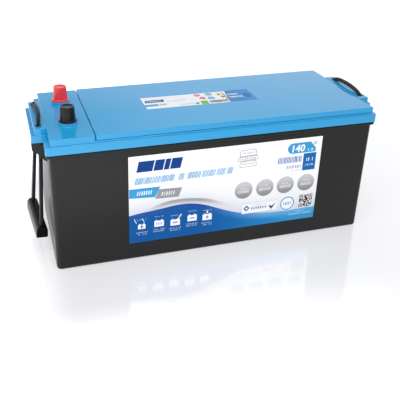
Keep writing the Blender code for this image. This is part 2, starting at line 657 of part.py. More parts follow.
main()
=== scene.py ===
# %% [markdown]
# # A deep cycle battery, from frame to finished looks
#
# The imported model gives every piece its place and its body, in metres. This script keeps those places and
# adds what a mould, a rope walk and a label printer would add: rounded edges, twisted strands, printed ink
# and real finishes. Each step says what the thing is, how it could be made here, and why it is made this way.

# %% Load the frame
import json
import math

import bmesh
import bpy
from mathutils import Euler, Matrix, Vector


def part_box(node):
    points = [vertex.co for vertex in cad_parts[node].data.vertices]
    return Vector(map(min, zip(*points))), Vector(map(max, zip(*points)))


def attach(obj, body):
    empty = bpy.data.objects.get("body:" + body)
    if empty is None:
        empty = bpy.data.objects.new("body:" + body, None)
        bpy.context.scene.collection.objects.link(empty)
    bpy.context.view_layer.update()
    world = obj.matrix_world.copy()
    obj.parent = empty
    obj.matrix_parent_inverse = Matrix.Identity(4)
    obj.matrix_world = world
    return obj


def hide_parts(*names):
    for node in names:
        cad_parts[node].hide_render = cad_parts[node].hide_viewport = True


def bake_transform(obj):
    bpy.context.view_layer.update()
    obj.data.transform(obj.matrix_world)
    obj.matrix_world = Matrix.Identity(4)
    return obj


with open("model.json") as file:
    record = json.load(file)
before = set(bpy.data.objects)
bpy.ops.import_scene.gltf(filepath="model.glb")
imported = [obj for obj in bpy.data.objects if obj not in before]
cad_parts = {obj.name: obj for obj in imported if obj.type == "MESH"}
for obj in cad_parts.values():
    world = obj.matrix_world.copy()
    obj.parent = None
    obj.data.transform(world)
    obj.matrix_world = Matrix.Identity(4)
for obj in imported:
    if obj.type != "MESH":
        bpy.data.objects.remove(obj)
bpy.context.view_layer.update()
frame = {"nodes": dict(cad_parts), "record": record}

MM = 0.001
nodes = frame["nodes"]

# %% [markdown]
# ## The camera
#
# A studio shot of a battery is taken from a little above and in front of the terminal end, so that the lid,
# the label and one rope handle all show. A 56 mm lens on a full-frame sensor gives that mild perspective,
# and a small lens shift keeps the uprights nearly parallel, as a product photographer would.

# %% Camera
camera = bpy.data.objects.new("camera", bpy.data.cameras.new("camera"))
bpy.context.scene.collection.objects.link(camera)
camera.location = (-0.2912, -0.8219, 0.5244)
camera.rotation_euler = (1.1503, -0.0136, -0.2812)
camera.data.lens = 55.6
camera.data.shift_x, camera.data.shift_y = 0.075, -0.15
camera.data.sensor_width = 36.0
bpy.context.scene.camera = camera
print("camera stands", round(camera.location.length, 3), "m from the middle of the base")

# %% [markdown]
# ## Two small tools for materials
#
# Plastic and ink colours are quoted as sRGB hex values, but shaders work in linear light, so one function
# converts them. Another adds a shader node and connects it in one call, which keeps a material readable:
# every material below is a short list of what the surface is made of.

# %% Colour and node helpers
def linear(hexa):
    """An sRGB hex colour as linear red, green, blue and alpha."""
    channels = [int(hexa[i:i + 2], 16) / 255 for i in (1, 3, 5)]
    return tuple(c / 12.92 if c <= 0.04045 else ((c + 0.055) / 1.055) ** 2.4 for c in channels) + (1.0,)


def add_node(tree, kind, inputs=None, **settings):
    """Adds a node, sets its properties, and fills or links its inputs by name or number."""
    made = tree.nodes.new(kind)
    for name, value in settings.items():
        setattr(made, name, value)
    for socket, value in (inputs or {}).items():
        if isinstance(value, bpy.types.NodeSocket):
            tree.links.new(value, made.inputs[socket])
        else:
            made.inputs[socket].default_value = value
    return made


def new_material(name, colour="#808080", **values):
    """A Principled surface. Values are its sockets, with spaces written as underscores."""
    made = bpy.data.materials.new(name)
    made.use_nodes = True
    tree = made.node_tree
    surface = tree.nodes["Principled BSDF"]
    surface.inputs["Base Color"].default_value = linear(colour)
    for socket, value in values.items():
        surface.inputs[socket.replace("_", " ")].default_value = value
    return made, tree, surface


# %% [markdown]
# ## Two colours in one skin, and relief
#
# Two things come back in every finish. One colour lies over another where a mask says so, and a height
# pattern tilts the shading by a real depth. A second relief adds to the first, as grain lies on a wavy wall.

# %% Colour over colour, and relief
def over(tree, under, cover, mask):
    """Lays one colour over another where the mask is 1."""
    return add_node(tree, "ShaderNodeMix", {0: mask, 6: under, 7: cover}, data_type="RGBA").outputs[2]


def relief(tree, surface, height, depth_mm):
    """Tilts a surface's shading by a height pattern, on top of any relief that it has already."""
    bump = add_node(tree, "ShaderNodeBump", {"Height": height, "Distance": depth_mm * MM, "Strength": 1.0})
    for link in surface.inputs["Normal"].links:
        tree.links.new(link.from_socket, bump.inputs["Normal"])
    tree.links.new(bump.outputs["Normal"], surface.inputs["Normal"])


# %% [markdown]
# ## Moulded plastic
#
# The container, lid, cover, caps and grips are injection mouldings. A moulding is never a perfect mirror:
# it has a slow waviness where the wall shrank, a fine grain from the tool, and a little colour drift. Four
# noises give these, each sized from a real length, and all of them read Object coordinates, which are
# metres here because every object sits at the origin.

# %% Moulded plastic
DRIFT_MM, SMEAR_MM = 110, 35          # how wide the patches of colour drift and of uneven gloss are


def moulded_plastic(name, colour, darker, roughness, wave_mm, wave_depth, grain_mm, grain_depth, **values):
    """A moulding's skin: drifting colour, uneven gloss, slow waves and fine grain, all sized in mm."""
    made, tree, surface = new_material(name, colour, **values)
    place = add_node(tree, "ShaderNodeTexCoord").outputs["Object"]
    drift, smear, wave, grain = [
        add_node(tree, "ShaderNodeTexNoise", {"Vector": place, "Scale": 1 / (size * MM),
                                              "Detail": detail}).outputs["Fac"]
        for size, detail in ((DRIFT_MM, 2.0), (SMEAR_MM, 4.0), (wave_mm, 1.0), (grain_mm, 2.0))]
    tree.links.new(over(tree, linear(colour), linear(darker), drift), surface.inputs["Base Color"])
    rough = add_node(tree, "ShaderNodeMapRange", {"Value": smear, "To Min": roughness * 0.85,
                                                 "To Max": roughness * 1.2})
    tree.links.new(rough.outputs["Result"], surface.inputs["Roughness"])
    relief(tree, surface, wave, wave_depth)
    relief(tree, surface, grain, grain_depth)
    return made


# Polypropylene, injection moulded, satin: reads as a deep grey-black that greys where light rakes it.
BLACK_PP = moulded_plastic("black_polypropylene", "#171818", "#131414", 0.3, 60, 0.03, 0.9, 0.006, IOR=1.49,
                           Specular_IOR_Level=0.3)
# Polypropylene from a polished tool: a saturated blue under a clear, nearly mirror-like skin.
BLUE_PP = moulded_plastic("blue_polypropylene", "#279fd5", "#239ad1", 0.07, 90, 0.02, 1.2, 0.0012, IOR=1.5)
# Low-density polyethylene: softer and waxier than the lid, so its highlights are wide.
RED_PE = moulded_plastic("red_polyethylene", "#f23a40", "#e93137", 0.22, 14, 0.02, 0.6, 0.004, IOR=1.51)
BLACK_PE = moulded_plastic("black_polyethylene", "#0d0e11", "#0a0b0d", 0.2, 14, 0.02, 0.6, 0.004, IOR=1.51,
                           Specular_IOR_Level=0.25)
# The grips are black polypropylene with a fine matt grain, so they hold almost no highlight.
GRIP_PP = moulded_plastic("grip_polypropylene", "#0b0b0c", "#080809", 0.22, 20, 0.03, 0.8, 0.004, IOR=1.49,
                          Specular_IOR_Level=0.07)
print("moulded plastics:", [m.name for m in bpy.data.materials if "poly" in m.name])

# %% [markdown]
# ## Finishing a piece
#
# Whatever makes a piece, the same last steps follow: give it its material, shade it smooth except across
# real edges, hide the CAD nodes that it stands for, and say which body carries it. A weighted normal keeps
# the large flat walls flat while the narrow rounded edges still shade round.

# %% Finish helpers
def mesh_of(bm):
    """A mesh from a bmesh, with doubles merged and every face outwards."""
    bmesh.ops.remove_doubles(bm, verts=bm.verts[:], dist=1e-7)
    bmesh.ops.recalc_face_normals(bm, faces=bm.faces[:])
    mesh = bpy.data.meshes.new("moulding")
    bm.to_mesh(mesh)
    bm.free()
    return mesh


def show(name, data):
    """An object at the origin, in the scene."""
    made = bpy.data.objects.new(name, data)
    bpy.context.scene.collection.objects.link(made)
    return made


def evaluated(obj):
    """A plain mesh of the object as its modifiers or its curve settings shape it."""
    return bpy.data.meshes.new_from_object(obj.evaluated_get(bpy.context.evaluated_depsgraph_get()))


def take_mesh(carrier):
    """The mesh that a temporary object makes; the object itself is deleted."""
    mesh = evaluated(carrier)
    bpy.data.objects.remove(carrier, do_unlink=True)
    return mesh


def apply_modifiers(obj):
    """Keeps the shape that the modifiers give, and drops them."""
    mesh = evaluated(obj)
    obj.modifiers.clear()
    obj.data = mesh


def dress(obj, material):
    """Gives an object one material in place of any that it has."""
    obj.data.materials.clear()
    obj.data.materials.append(material)


def finish_piece(obj, material, body, slot, *stands_for, sharp=35):
    """The last steps of every moulding: finish, shading, the nodes it stands for and its body; the slot is
    not used.
    """
    dress(obj, material)
    obj.data.shade_smooth()
    obj.data.set_sharp_from_angle(angle=math.radians(sharp))
    obj.modifiers.new("flat_walls", "WEIGHTED_NORMAL").keep_sharp = True
    apply_modifiers(obj)
    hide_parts(*stands_for)
    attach(obj, body)
    print(f"{obj.name}: {len(obj.data.polygons)} faces")


# %% [markdown]
# ## Mouldings as stacked rings
#
# A moulded box is a stack of rounded rectangles: they grow out of the foot, run up the drafted wall and
# close over the top edge. Building the rings directly gives clean four-sided faces and exact radii, where a
# Bevel modifier would have to guess them again after every Boolean. Holes and hollows are then cut with
# Booleans, because that is how the tool's cores make them.

# %% Rings and blocks
def ring(x, y, corner, z, quarter=5):
    """Points round a rounded rectangle at one height."""
    corner = max(corner, 0.02 * MM)
    middles = ((x[1] - corner, y[1] - corner), (x[0] + corner, y[1] - corner),
               (x[0] + corner, y[0] + corner), (x[1] - corner, y[0] + corner))
    points = []
    for turn, (cx, cy) in enumerate(middles):
        for step in range(quarter + 1):
            angle = math.radians(90 * (turn + step / quarter))
            points.append(Vector((cx + corner * math.cos(angle), cy + corner * math.sin(angle), z)))
    return points


def stack(rings):
    """Closes a stack of equal rings into a solid bmesh."""
    bm = bmesh.new()
    loops = [[bm.verts.new(p) for p in points] for points in rings]
    for low, high in zip(loops, loops[1:]):
        for i in range(len(low)):
            j = (i + 1) % len(low)
            bm.faces.new((low[i], low[j], high[j], high[i]))
    bm.faces.new(loops[0][::-1])
    bm.faces.new(loops[-1])
    return bm


def block(x, y, z, corner, top=0.8 * MM, foot=0.8 * MM, draft=0.0, quarter=5, arc=4):
    """A moulded box between (low, high) pairs with rounded corners, top edge and foot."""
    rings = []
    for step in range(arc + 1):
        angle = math.radians(90 * step / arc)
        rings.append((foot * (1 - math.sin(angle)), z[0] + foot * (1 - math.cos(angle))))
    for step in range(arc + 1):
        angle = math.radians(90 * step / arc)
        rings.append((top * (1 - math.cos(angle)), z[1] - top + top * math.sin(angle)))
    shaped = []
    for inset, height in rings:
        lean = draft * (z[1] - height) / (z[1] - z[0])
        inset += lean
        shaped.append(ring((x[0] + inset, x[1] - inset), (y[0] + inset, y[1] - inset),
                           corner - (inset - lean), height, quarter))
    return stack(shaped)


def lathe(profile, centre, steps=64):
    """Spins (radius, height) points, listed down the outside, about an upright axis."""
    bm = bmesh.new()
    loops = []
    for radius, height in profile:
        if radius < 1e-9:
            loops.append([bm.verts.new((centre[0], centre[1], height))])
            continue
        turns = (math.tau * i / steps for i in range(steps))
        loops.append([bm.verts.new((centre[0] + radius * math.cos(a), centre[1] + radius * math.sin(a),
                                    height)) for a in turns])
    for high, low in zip(loops, loops[1:]):
        for i in range(steps):
            j = (i + 1) % steps
            corners = [high[i % len(high)], low[i % len(low)], low[j % len(low)], high[j % len(high)]]
            unique = list(dict.fromkeys(corners))
            if len(unique) > 2:
                bm.faces.new(unique)
    return bm


def tool(bm):
    """A hidden object for a Boolean."""
    made = show("tool", mesh_of(bm))
    made.hide_render = True
    return made


def drill(radius, high, low, centre, steps=32):
    """A tool that cuts a round upright hole."""
    return tool(lathe([(0, high), (radius, high), (radius, low), (0, low)], centre, steps))


def shape(obj, add=(), remove=()):
    """Joins and cuts tools with exact Booleans, and keeps only the result."""
    tools = [("UNION", t) for t in add] + [("DIFFERENCE", t) for t in remove]
    for operation, other in tools:
        step = obj.modifiers.new("shape", "BOOLEAN")
        step.operation, step.object, step.solver = operation, other, "EXACT"
    apply_modifiers(obj)
    for _, other in tools:
        bpy.data.objects.remove(other, do_unlink=True)
    return obj


def sides():
    """(end name, sign) for the terminal end at -X and the far end at +X."""
    return (("left", -1), ("right", 1))


# %% [markdown]
# ## Rope handles
#
# Each handle is one loop of three-strand rope, 6 mm thick: through the grip, up one strand, out of the
# ledge, across in a low arch and down the other strand. A curve with a round bevel would look like a hose.
# Laying three strands round the route is a job for Geometry Nodes: the tree copies the route once per
# strand, pushes each copy sideways by an angle that grows with length, and sweeps a small circle along it.
# The normal is carried with minimum twist, so the only twist is the rope's own lay.

# %% Rope route
ROPE_X, ROPE_Y, ROPE_RADIUS, Z_PIVOT = 245 * MM, 42 * MM, 3 * MM, 158 * MM
ROPE_DROP = {"left": 120 * MM, "right": 130 * MM}
GRIP_OFFSET = 9.5 * MM
# How the grip has settled: (roll, pitch, yaw). The left one hangs with its rear end lower and further out.
GRIP_TURN = {"left": (math.radians(-3.0), 0.0, math.radians(3.5)), "right": (0.0, 0.0, 0.0)}
# (lean towards the middle, y, z) in millimetres, from the front hole to the rear one.
ARCHES = {
    "left": [(0, -42, 172), (0, -42, 186), (0, -42, 198), (0.2, -41.7, 203.5), (0.9, -39, 208.4),
             (1.7, -32, 211.6), (2.2, -20, 212.2), (2.2, -4, 210.8), (1.9, 12, 208.4), (1.2, 25, 206.4),
             (0.6, 32.6, 205.5), (0.1, 37.6, 204.7), (0, 40.9, 202), (0, 42, 197), (0, 42, 186),
             (0, 42, 172)],
    "right": [(0, -42, 172), (0, -42, 186), (0, -42, 194), (0, -41, 198.8), (0, -38, 202.2),
              (0, -33, 204.6), (0, -25, 206.4), (0, -13, 207.7), (0, 0, 208.1), (0, 13, 207.7),
              (0, 25, 206.4), (0, 33, 204.6), (0, 38, 202.2), (0, 41, 198.8), (0, 42, 194),
              (0, 42, 186), (0, 42, 172)],
}


def smooth(points, spacing):
    """Points about one spacing apart on a Catmull-Rom curve through the given points."""
    ends = [2 * points[0] - points[1]] + points + [2 * points[-1] - points[-2]]
    route = [points[0]]
    for before, start, end, after in zip(ends, ends[1:], ends[2:], ends[3:]):
        steps = max(1, round((end - start).length / spacing))
        for step in range(1, steps + 1):
            t = step / steps
            route.append(0.5 * (2 * start + (end - before) * t
                                + (2 * before - 5 * start + 4 * end - after) * t ** 2
                                + (3 * start - before - 3 * end + after) * t ** 3))
    return route


def handle_frame(end, sign):
    """Turns points of the hanging handle, given about its pivot, into their resting place."""
    tilt = math.asin(GRIP_OFFSET / ROPE_DROP[end])
    return Matrix.Translation((sign * ROPE_X, 0, Z_PIVOT)) @ Matrix.Rotation(-sign * tilt, 4, "Y")


def hung(end, point):
    """Turns a point of the hanging loop with its grip: not at all at the pivot, fully at the grip."""
    level = max(point[2], -ROPE_DROP[end])
    share = -level / ROPE_DROP[end]
    turned = Euler([share * angle for angle in GRIP_TURN[end]]).to_matrix()
    return turned @ Vector((point[0], point[1], point[2] - level)) + Vector((0, 0, level))


def arch_points(end, sign):
    """The arch over the ledge, in the shared frame."""
    return [Vector((sign * (ROPE_X - lean * MM), y * MM, z * MM)) for lean, y, z in ARCHES[end]]


def rope_route(end, sign):
    """Through the grip, up in front, over the arch and down behind: one closed handle."""
    run = ROPE_DROP[end] + 2 * MM
    place = handle_frame(end, sign)
    bend = [(0, 0, -run), (0, -12 * MM, -run), (0, -22 * MM, -run), (0, -ROPE_Y + 8 * MM, -run),
            (0, -ROPE_Y + 3.2 * MM, -run + 1.4 * MM), (0, -ROPE_Y + 0.7 * MM, -run + 5 * MM)]
    rise = [(0, -ROPE_Y, -share * run) for share in (0.9, 0.78, 0.6, 0.4, 0.2, 0.06)]
    front = [place @ hung(end, p) for p in bend + rise]
    rear = [place @ hung(end, (x, -y, z)) for x, y, z in reversed(bend + rise)]
    return smooth(front + arch_points(end, sign) + rear, 3 * MM)


routes = {end: rope_route(end, sign) for end, sign in sides()}

# %% [markdown]
# The strands are black polypropylene yarn. Each strand is itself twisted the other way, which shows as fine
# slanting lines. The tree stores how far along and how far round each point is, and the material draws the
# yarn from those two numbers, with a painted highlight on each yarn's ridge and painted shade in its grooves,
# so the pattern follows the rope round every bend.

# %% Rope material
YARNS, YARN_LAY = 7.0, 6 * MM         # yarns round a strand, and the length in which they turn once


def ramp(tree, factor, *stops):
    """A colour that runs through (position, hex colour) stops."""
    made = add_node(tree, "ShaderNodeValToRGB", {"Fac": factor})
    elements = made.color_ramp.elements
    elements[0].position, elements[0].color = stops[0][0], linear(stops[0][1])
    elements[1].position, elements[1].color = stops[-1][0], linear(stops[-1][1])
    for position, colour in stops[1:-1]:
        elements.new(position).color = linear(colour)
    return made.outputs["Color"]


def rope_material():
    """Black yarn: ridges painted light as highlight, grooves painted dark as shade; loose fibres blur its
    edges.
    """
    made, tree, surface = new_material("twisted_polypropylene_rope", "#111116", Roughness=0.3, IOR=1.49,
                                       Specular_IOR_Level=0.5)
    along = add_node(tree, "ShaderNodeAttribute", attribute_name="along").outputs["Fac"]
    around = add_node(tree, "ShaderNodeAttribute", attribute_name="around").outputs["Fac"]
    yarns = add_node(tree, "ShaderNodeMath", {0: around, 1: YARNS}, operation="MULTIPLY")
    lay = add_node(tree, "ShaderNodeMath", {0: along, 1: 1 / YARN_LAY}, operation="MULTIPLY")
    phase = add_node(tree, "ShaderNodeMath", {0: yarns.outputs[0], 1: lay.outputs[0]}, operation="ADD")
    turn = add_node(tree, "ShaderNodeMath", {0: phase.outputs[0], 1: math.tau}, operation="MULTIPLY")
    swell = add_node(tree, "ShaderNodeMath", {0: turn.outputs[0]}, operation="SINE").outputs[0]
    place = add_node(tree, "ShaderNodeTexCoord").outputs["Object"]
    fuzz = add_node(tree, "ShaderNodeTexNoise", {"Vector": place, "Scale": 1 / (1.2 * MM), "Detail": 3.0})
    height = add_node(tree, "ShaderNodeMath", {0: fuzz.outputs["Fac"], 1: 1.4, 2: swell},
                      operation="MULTIPLY_ADD")
    relief(tree, surface, height.outputs[0], 0.12)
    # The yarn's swell sets the colour: ridges painted lighter as highlight, grooves painted darker as shade.
    yarn_painted_shade = add_node(tree, "ShaderNodeMapRange", {"Value": swell, "From Min": -1.0, "From Max": 1.0})
    colour = ramp(tree, yarn_painted_shade.outputs["Result"], (0.0, "#060608"), (1.0, "#1a1920"))
    tree.links.new(colour, surface.inputs["Base Color"])
    return made


ROPE = rope_material()

# %% Rope tree
def rope_tree():
    """A tree that lays equal strands round a route and sweeps a small circle along each."""
    tree = bpy.data.node_groups.new("laid_rope", "GeometryNodeTree")
    for name, kind in (("Route", "NodeSocketGeometry"), ("Strands", "NodeSocketInt"),
                       ("Lay", "NodeSocketFloat"), ("Offset", "NodeSocketFloat"),
                       ("Strand Radius", "NodeSocketFloat"), ("Finish", "NodeSocketMaterial")):
        tree.interface.new_socket(name, in_out="INPUT", socket_type=kind)
    tree.interface.new_socket("Rope", in_out="OUTPUT", socket_type="NodeSocketGeometry")
    given = add_node(tree, "NodeGroupInput").outputs
    normals = add_node(tree, "GeometryNodeSetCurveNormal", {"Curve": given["Route"]})
    copies = add_node(tree, "GeometryNodeDuplicateElements",
                      {"Geometry": normals.outputs[0], "Amount": given["Strands"]}, domain="SPLINE")
    along = add_node(tree, "GeometryNodeSplineParameter").outputs["Length"]
    turns = add_node(tree, "ShaderNodeMath", {0: along, 1: given["Lay"]}, operation="DIVIDE")
    share = add_node(tree, "ShaderNodeMath", {0: copies.outputs["Duplicate Index"], 1: given["Strands"]},
                     operation="DIVIDE")
    total = add_node(tree, "ShaderNodeMath", {0: turns.outputs[0], 1: share.outputs[0]}, operation="ADD")
    angle = add_node(tree, "ShaderNodeMath", {0: total.outputs[0], 1: math.tau}, operation="MULTIPLY")
    tangent = add_node(tree, "GeometryNodeInputTangent").outputs[0]
    normal = add_node(tree, "GeometryNodeInputNormal").outputs[0]
    outward = add_node(tree, "ShaderNodeVectorRotate", {"Vector": normal, "Axis": tangent,
                                                       "Angle": angle.outputs[0]})
    push = add_node(tree, "ShaderNodeVectorMath", {0: outward.outputs[0], "Scale": given["Offset"]},
                    operation="SCALE")
    laid = add_node(tree, "GeometryNodeSetPosition", {"Geometry": copies.outputs[0],
                                                     "Offset": push.outputs[0]})
    kept = add_node(tree, "GeometryNodeStoreNamedAttribute",
                    {"Geometry": laid.outputs[0], "Name": "along", "Value": along},
                    data_type="FLOAT", domain="POINT")
    circle = add_node(tree, "GeometryNodeCurvePrimitiveCircle",
                      {"Resolution": 9, "Radius": given["Strand Radius"]})
    part = add_node(tree, "GeometryNodeSplineParameter").outputs["Factor"]
    profile = add_node(tree, "GeometryNodeStoreNamedAttribute",
                       {"Geometry": circle.outputs[0], "Name": "around", "Value": part},
                       data_type="FLOAT", domain="POINT")
    swept = add_node(tree, "GeometryNodeCurveToMesh", {"Curve": kept.outputs[0],
                                                      "Profile Curve": profile.outputs[0],
                                                      "Fill Caps": True})
    solid = add_node(tree, "GeometryNodeRealizeInstances", {"Geometry": swept.outputs[0]})
    final = add_node(tree, "GeometryNodeSetMaterial", {"Geometry": solid.outputs[0],
                                                      "Material": given["Finish"]})
    add_node(tree, "NodeGroupOutput", {"Rope": final.outputs[0]})
    return tree


def set_inputs(modifier, **values):
    """Sets a Geometry Nodes modifier's inputs by their names, through the sockets' identifiers."""
    for item in modifier.node_group.interface.items_tree:
        if item.in_out == "INPUT" and item.name.replace(" ", "_") in values:
            modifier[item.identifier] = values[item.name.replace(" ", "_")]


LAID_ROPE = rope_tree()
print("rope tree:", len(LAID_ROPE.nodes), "nodes")

# %% Lay the ropes
# Three touching strands fill a circle when each has 0.464 of its radius. A hard lay of two diameters draws
# them in to 1 / 2.3, and pushing them out by 0.2 mm opens the deep grooves of a stiff rope.
STRAND_RADIUS = ROPE_RADIUS / 2.3
STRAND_OFFSET = ROPE_RADIUS + 0.2 * MM - STRAND_RADIUS
LAY_LENGTH = 12 * MM


def curve_through(name, points):
    """A curve of one straight-sided open spline."""
    line = bpy.data.curves.new(name, "CURVE")
    line.dimensions = "3D"
    spline = line.splines.new("POLY")
    spline.points.add(len(points) - 1)
    for point, place in zip(spline.points, points):
        point.co = (*place, 1.0)
    return line


for end, sign in sides():
    fine = smooth(routes[end], 1 * MM)
    carrier = show(f"{end}_route", curve_through(f"{end}_route", fine))
    laying = carrier.modifiers.new("lay", "NODES")
    laying.node_group = LAID_ROPE
    set_inputs(laying, Strands=3, Lay=LAY_LENGTH, Offset=STRAND_OFFSET, Strand_Radius=STRAND_RADIUS,
               Finish=ROPE)
    rope = show(f"{end}_rope", take_mesh(carrier))
    rope.data.shade_smooth()
    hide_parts(f"{end}_rope_arch", f"{end}_rope_loop")
    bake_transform(rope)

# %% [markdown]
# ## Floor and light
#
# The battery stands on a light table: white acrylic lit from below, so that the background stays clean and
# the case throws almost no shadow. Its gloss shows as a pale reflection of the black case, which takes a
# higher IOR than acrylic's 1.49, because the light from below washes out a plain sheet's. A white world
# stands for the tent around it, and one long soft panel gives the broad highlight on the lid and caps.

# %% Floor, world and panel
# Half the length and width of the zone under and round the battery where the emission is turned down, which
# paints a soft shade on the floor (the height plays no part), and how far beyond its edge the emission takes
# to reach its full strength.
PAINTED_SHADE_ZONE, LAMP_FADE = (0.215, 0.17, 1.0), 0.14

FLOOR, floor_tree, floor_surface = new_material("lit_acrylic_table", "#a8a8aa", Roughness=0.1, IOR=2.1)
floor_surface.inputs["Emission Color"].default_value = linear("#fdfdff")
place = add_node(floor_tree, "ShaderNodeTexCoord").outputs["Object"]
across = add_node(floor_tree, "ShaderNodeSeparateXYZ", {0: place}).outputs["X"]
# The lamps under the acrylic are strongest towards the terminal end. Close to the battery their emission is
# turned down, which paints a soft shade on the floor round it.
mirrored = add_node(floor_tree, "ShaderNodeVectorMath", {0: place}, operation="ABSOLUTE")
beyond = add_node(floor_tree, "ShaderNodeVectorMath", {0: mirrored.outputs[0], 1: PAINTED_SHADE_ZONE},
                  operation="SUBTRACT")
outside = add_node(floor_tree, "ShaderNodeVectorMath", {0: beyond.outputs[0], 1: (0.0, 0.0, 0.0)},
                   operation="MAXIMUM")
distance = add_node(floor_tree, "ShaderNodeVectorMath", {0: outside.outputs[0]}, operation="LENGTH")
far_lamps = add_node(floor_tree, "ShaderNodeMapRange", {"Value": across, "From Min": -0.25, "From Max": 0.3,
                                                       "To Min": 1.35, "To Max": 0.55},
                     interpolation_type="SMOOTHSTEP")
lamps = add_node(floor_tree, "ShaderNodeMapRange", {"Value": distance.outputs["Value"], "From Min": 0.0,
                                                   "From Max": LAMP_FADE, "To Min": 0.53,
                                                   "To Max": far_lamps.outputs[0]},
                 interpolation_type="SMOOTHSTEP")
floor_tree.links.new(lamps.outputs[0], floor_surface.inputs["Emission Strength"])
floor = show("floor", bpy.data.meshes.new("floor"))
sheet = bmesh.new()
bmesh.ops.create_grid(sheet, x_segments=1, y_segments=1, size=6.0)
sheet.to_mesh(floor.data)
sheet.free()
floor.data.materials.append(FLOOR)
floor.location.z = -0.0002

scene = bpy.context.scene
scene.view_settings.view_transform = "Standard"
scene.world = bpy.data.worlds.new("tent")
scene.world.use_nodes = True
sky = scene.world.node_tree
right, back, up = add_node(sky, "ShaderNodeSeparateXYZ",
                           {0: add_node(sky, "ShaderNodeTexCoord").outputs["Generated"]}).outputs
# The tent's back wall is bright low down and towards the right, dimmer behind the terminals and overhead.
wall = add_node(sky, "ShaderNodeMapRange", {"Value": right, "From Min": 0.06, "From Max": 0.3,
                                           "To Min": 0.5, "To Max": 0.98}, interpolation_type="SMOOTHSTEP")
roof = add_node(sky, "ShaderNodeMapRange", {"Value": up, "From Min": 0.45, "From Max": 0.65,
                                           "To Min": wall.outputs[0], "To Max": 0.55})
glow = add_node(sky, "ShaderNodeMapRange", {"Value": up, "From Min": 0.28, "From Max": 0.37,
                                           "To Min": 1.3, "To Max": roof.outputs[0]})
front = add_node(sky, "ShaderNodeMapRange", {"Value": back, "From Min": -0.3, "From Max": 0.1,
                                            "To Min": 0.7, "To Max": glow.outputs[0]})
tent = sky.nodes["Background"]
tent.inputs["Color"].default_value = linear("#fbfcff")
sky.links.new(front.outputs[0], tent.inputs["Strength"])

# The panel hangs over the front edge of the terminal end, and is aimed at the lid.
light = bpy.data.lights.new("top_panel", "AREA")
light.shape, light.size, light.size_y, light.energy = "RECTANGLE", 0.9, 0.3, 5.0
lamp = show("top_panel", light)
lamp.location = (-0.27, -0.5, 1.05)
lamp.rotation_euler = (Vector((-0.2, -0.1, 0.2)) - Vector(lamp.location)).to_track_quat("-Z", "Y").to_euler()
print("stage ready")

# %% [markdown]
# ## The container
#
# The container is one deep moulding of black polypropylene: a drafted box with rounded corners and foot, a
# flange under the lid's skirt, and a lobe at each end that carries the rope. The inside has six cells. It is
# built as stacked rings and blocks joined by Booleans, with the cells cut out, as the mould's cores do it.

# %% Container
CASE_LENGTH, CASE_WIDTH, WALL_TOP = 476 * MM, 183.6 * MM, 188 * MM
WALL, PARTITION, GAP = 3.8 * MM, 2.4 * MM, 0.3 * MM
INNER_X, INNER_Y = CASE_LENGTH / 2 - 1 * MM - WALL, CASE_WIDTH / 2 - 1 * MM - WALL
CELL_LENGTH, CELL_WIDTH = (2 * INNER_X - 2 * PARTITION) / 3, INNER_Y - PARTITION / 2
CASE_CORNER, ROPE_HOLE = 7 * MM, 3.5 * MM
LEDGE_OUT, LEDGE_HALF = 256.5, 54 * MM       # how far the handle ledges reach, and half their width
LOBE = [(231, 178.9), (243.4, 178.9), (243.4, 181.6), (LEDGE_OUT, 181.6), (LEDGE_OUT, 172),
        (254, 168.2), (249, 166), (241.5, 156.4), (231, 147.8)]     # (x, z) round the lobe's side, in mm


def bar_along_y(outline, half_y, edge):
    """An outline of (x, z) points pushed along Y, with all its edges rounded."""
    bm = bmesh.new()
    face = bm.faces.new([bm.verts.new((x, -half_y, z)) for x, z in outline])
    pushed = bmesh.ops.extrude_face_region(bm, geom=[face])
    moved = [item for item in pushed["geom"] if isinstance(item, bmesh.types.BMVert)]
    bmesh.ops.translate(bm, verts=moved, vec=(0, 2 * half_y, 0))
    bmesh.ops.recalc_face_normals(bm, faces=bm.faces[:])
    bmesh.ops.bevel(bm, geom=bm.edges[:], offset=edge, segments=3, profile=0.5, affect="EDGES")
    return bm


def symmetric(half):
    """A (low, high) pair about the middle."""
    return (-half, half)


def grown(box, gap):
    """A node's (low, high) corners as x, y and z pairs, with room all round."""
    return [(low - gap, high + gap) for low, high in zip(*box)]


def make_case():
    """The drafted box with its flange and lobes, then the cells and the rope's holes cut out of it."""
    case = show("container_moulding", mesh_of(block(
        symmetric(CASE_LENGTH / 2), symmetric(CASE_WIDTH / 2), (0, WALL_TOP), CASE_CORNER, top=0.4 * MM,
        foot=4 * MM, draft=1 * MM, quarter=8, arc=6)))
    add = [tool(block(symmetric(241.6 * MM), symmetric(94.1 * MM), (174.8 * MM, 178.2 * MM), 6 * MM,
                      top=0.9 * MM, foot=1.4 * MM))]
    for _, sign in sides():
        add.append(tool(bar_along_y([(sign * x * MM, z * MM) for x, z in LOBE], LEDGE_HALF, 0.6 * MM)))
    remove = []
    for x in (-CELL_LENGTH - PARTITION, 0.0, CELL_LENGTH + PARTITION):
        for y in (-1, 1):
            middle = y * (PARTITION + CELL_WIDTH) / 2
            remove.append(tool(block((x - CELL_LENGTH / 2, x + CELL_LENGTH / 2),
                                     (middle - CELL_WIDTH / 2, middle + CELL_WIDTH / 2),
                                     (3.5 * MM, 195 * MM), 1.5 * MM, quarter=3)))
    for _, sign in sides():
        for y in (-ROPE_Y, ROPE_Y):
            remove.append(drill(ROPE_HOLE, 190 * MM, 140 * MM, (sign * ROPE_X, y), steps=24))
    for number in range(1, 6):
        remove.append(tool(block(*grown(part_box(f"cell_link_{number}"), GAP), 0.3 * MM, top=0.1 * MM,
                                 foot=0.1 * MM, quarter=1, arc=1)))
    finish_piece(shape(case, add, remove), BLACK_PP, "root", "container", "container")


make_case()

# %% [markdown]
# ## The lid
#
# The lid is one blue moulding too: a skirt over the container's rim, a deck, a raised end that carries the
# terminals, a stepped ledge at each end for the rope, and a collar round each terminal.

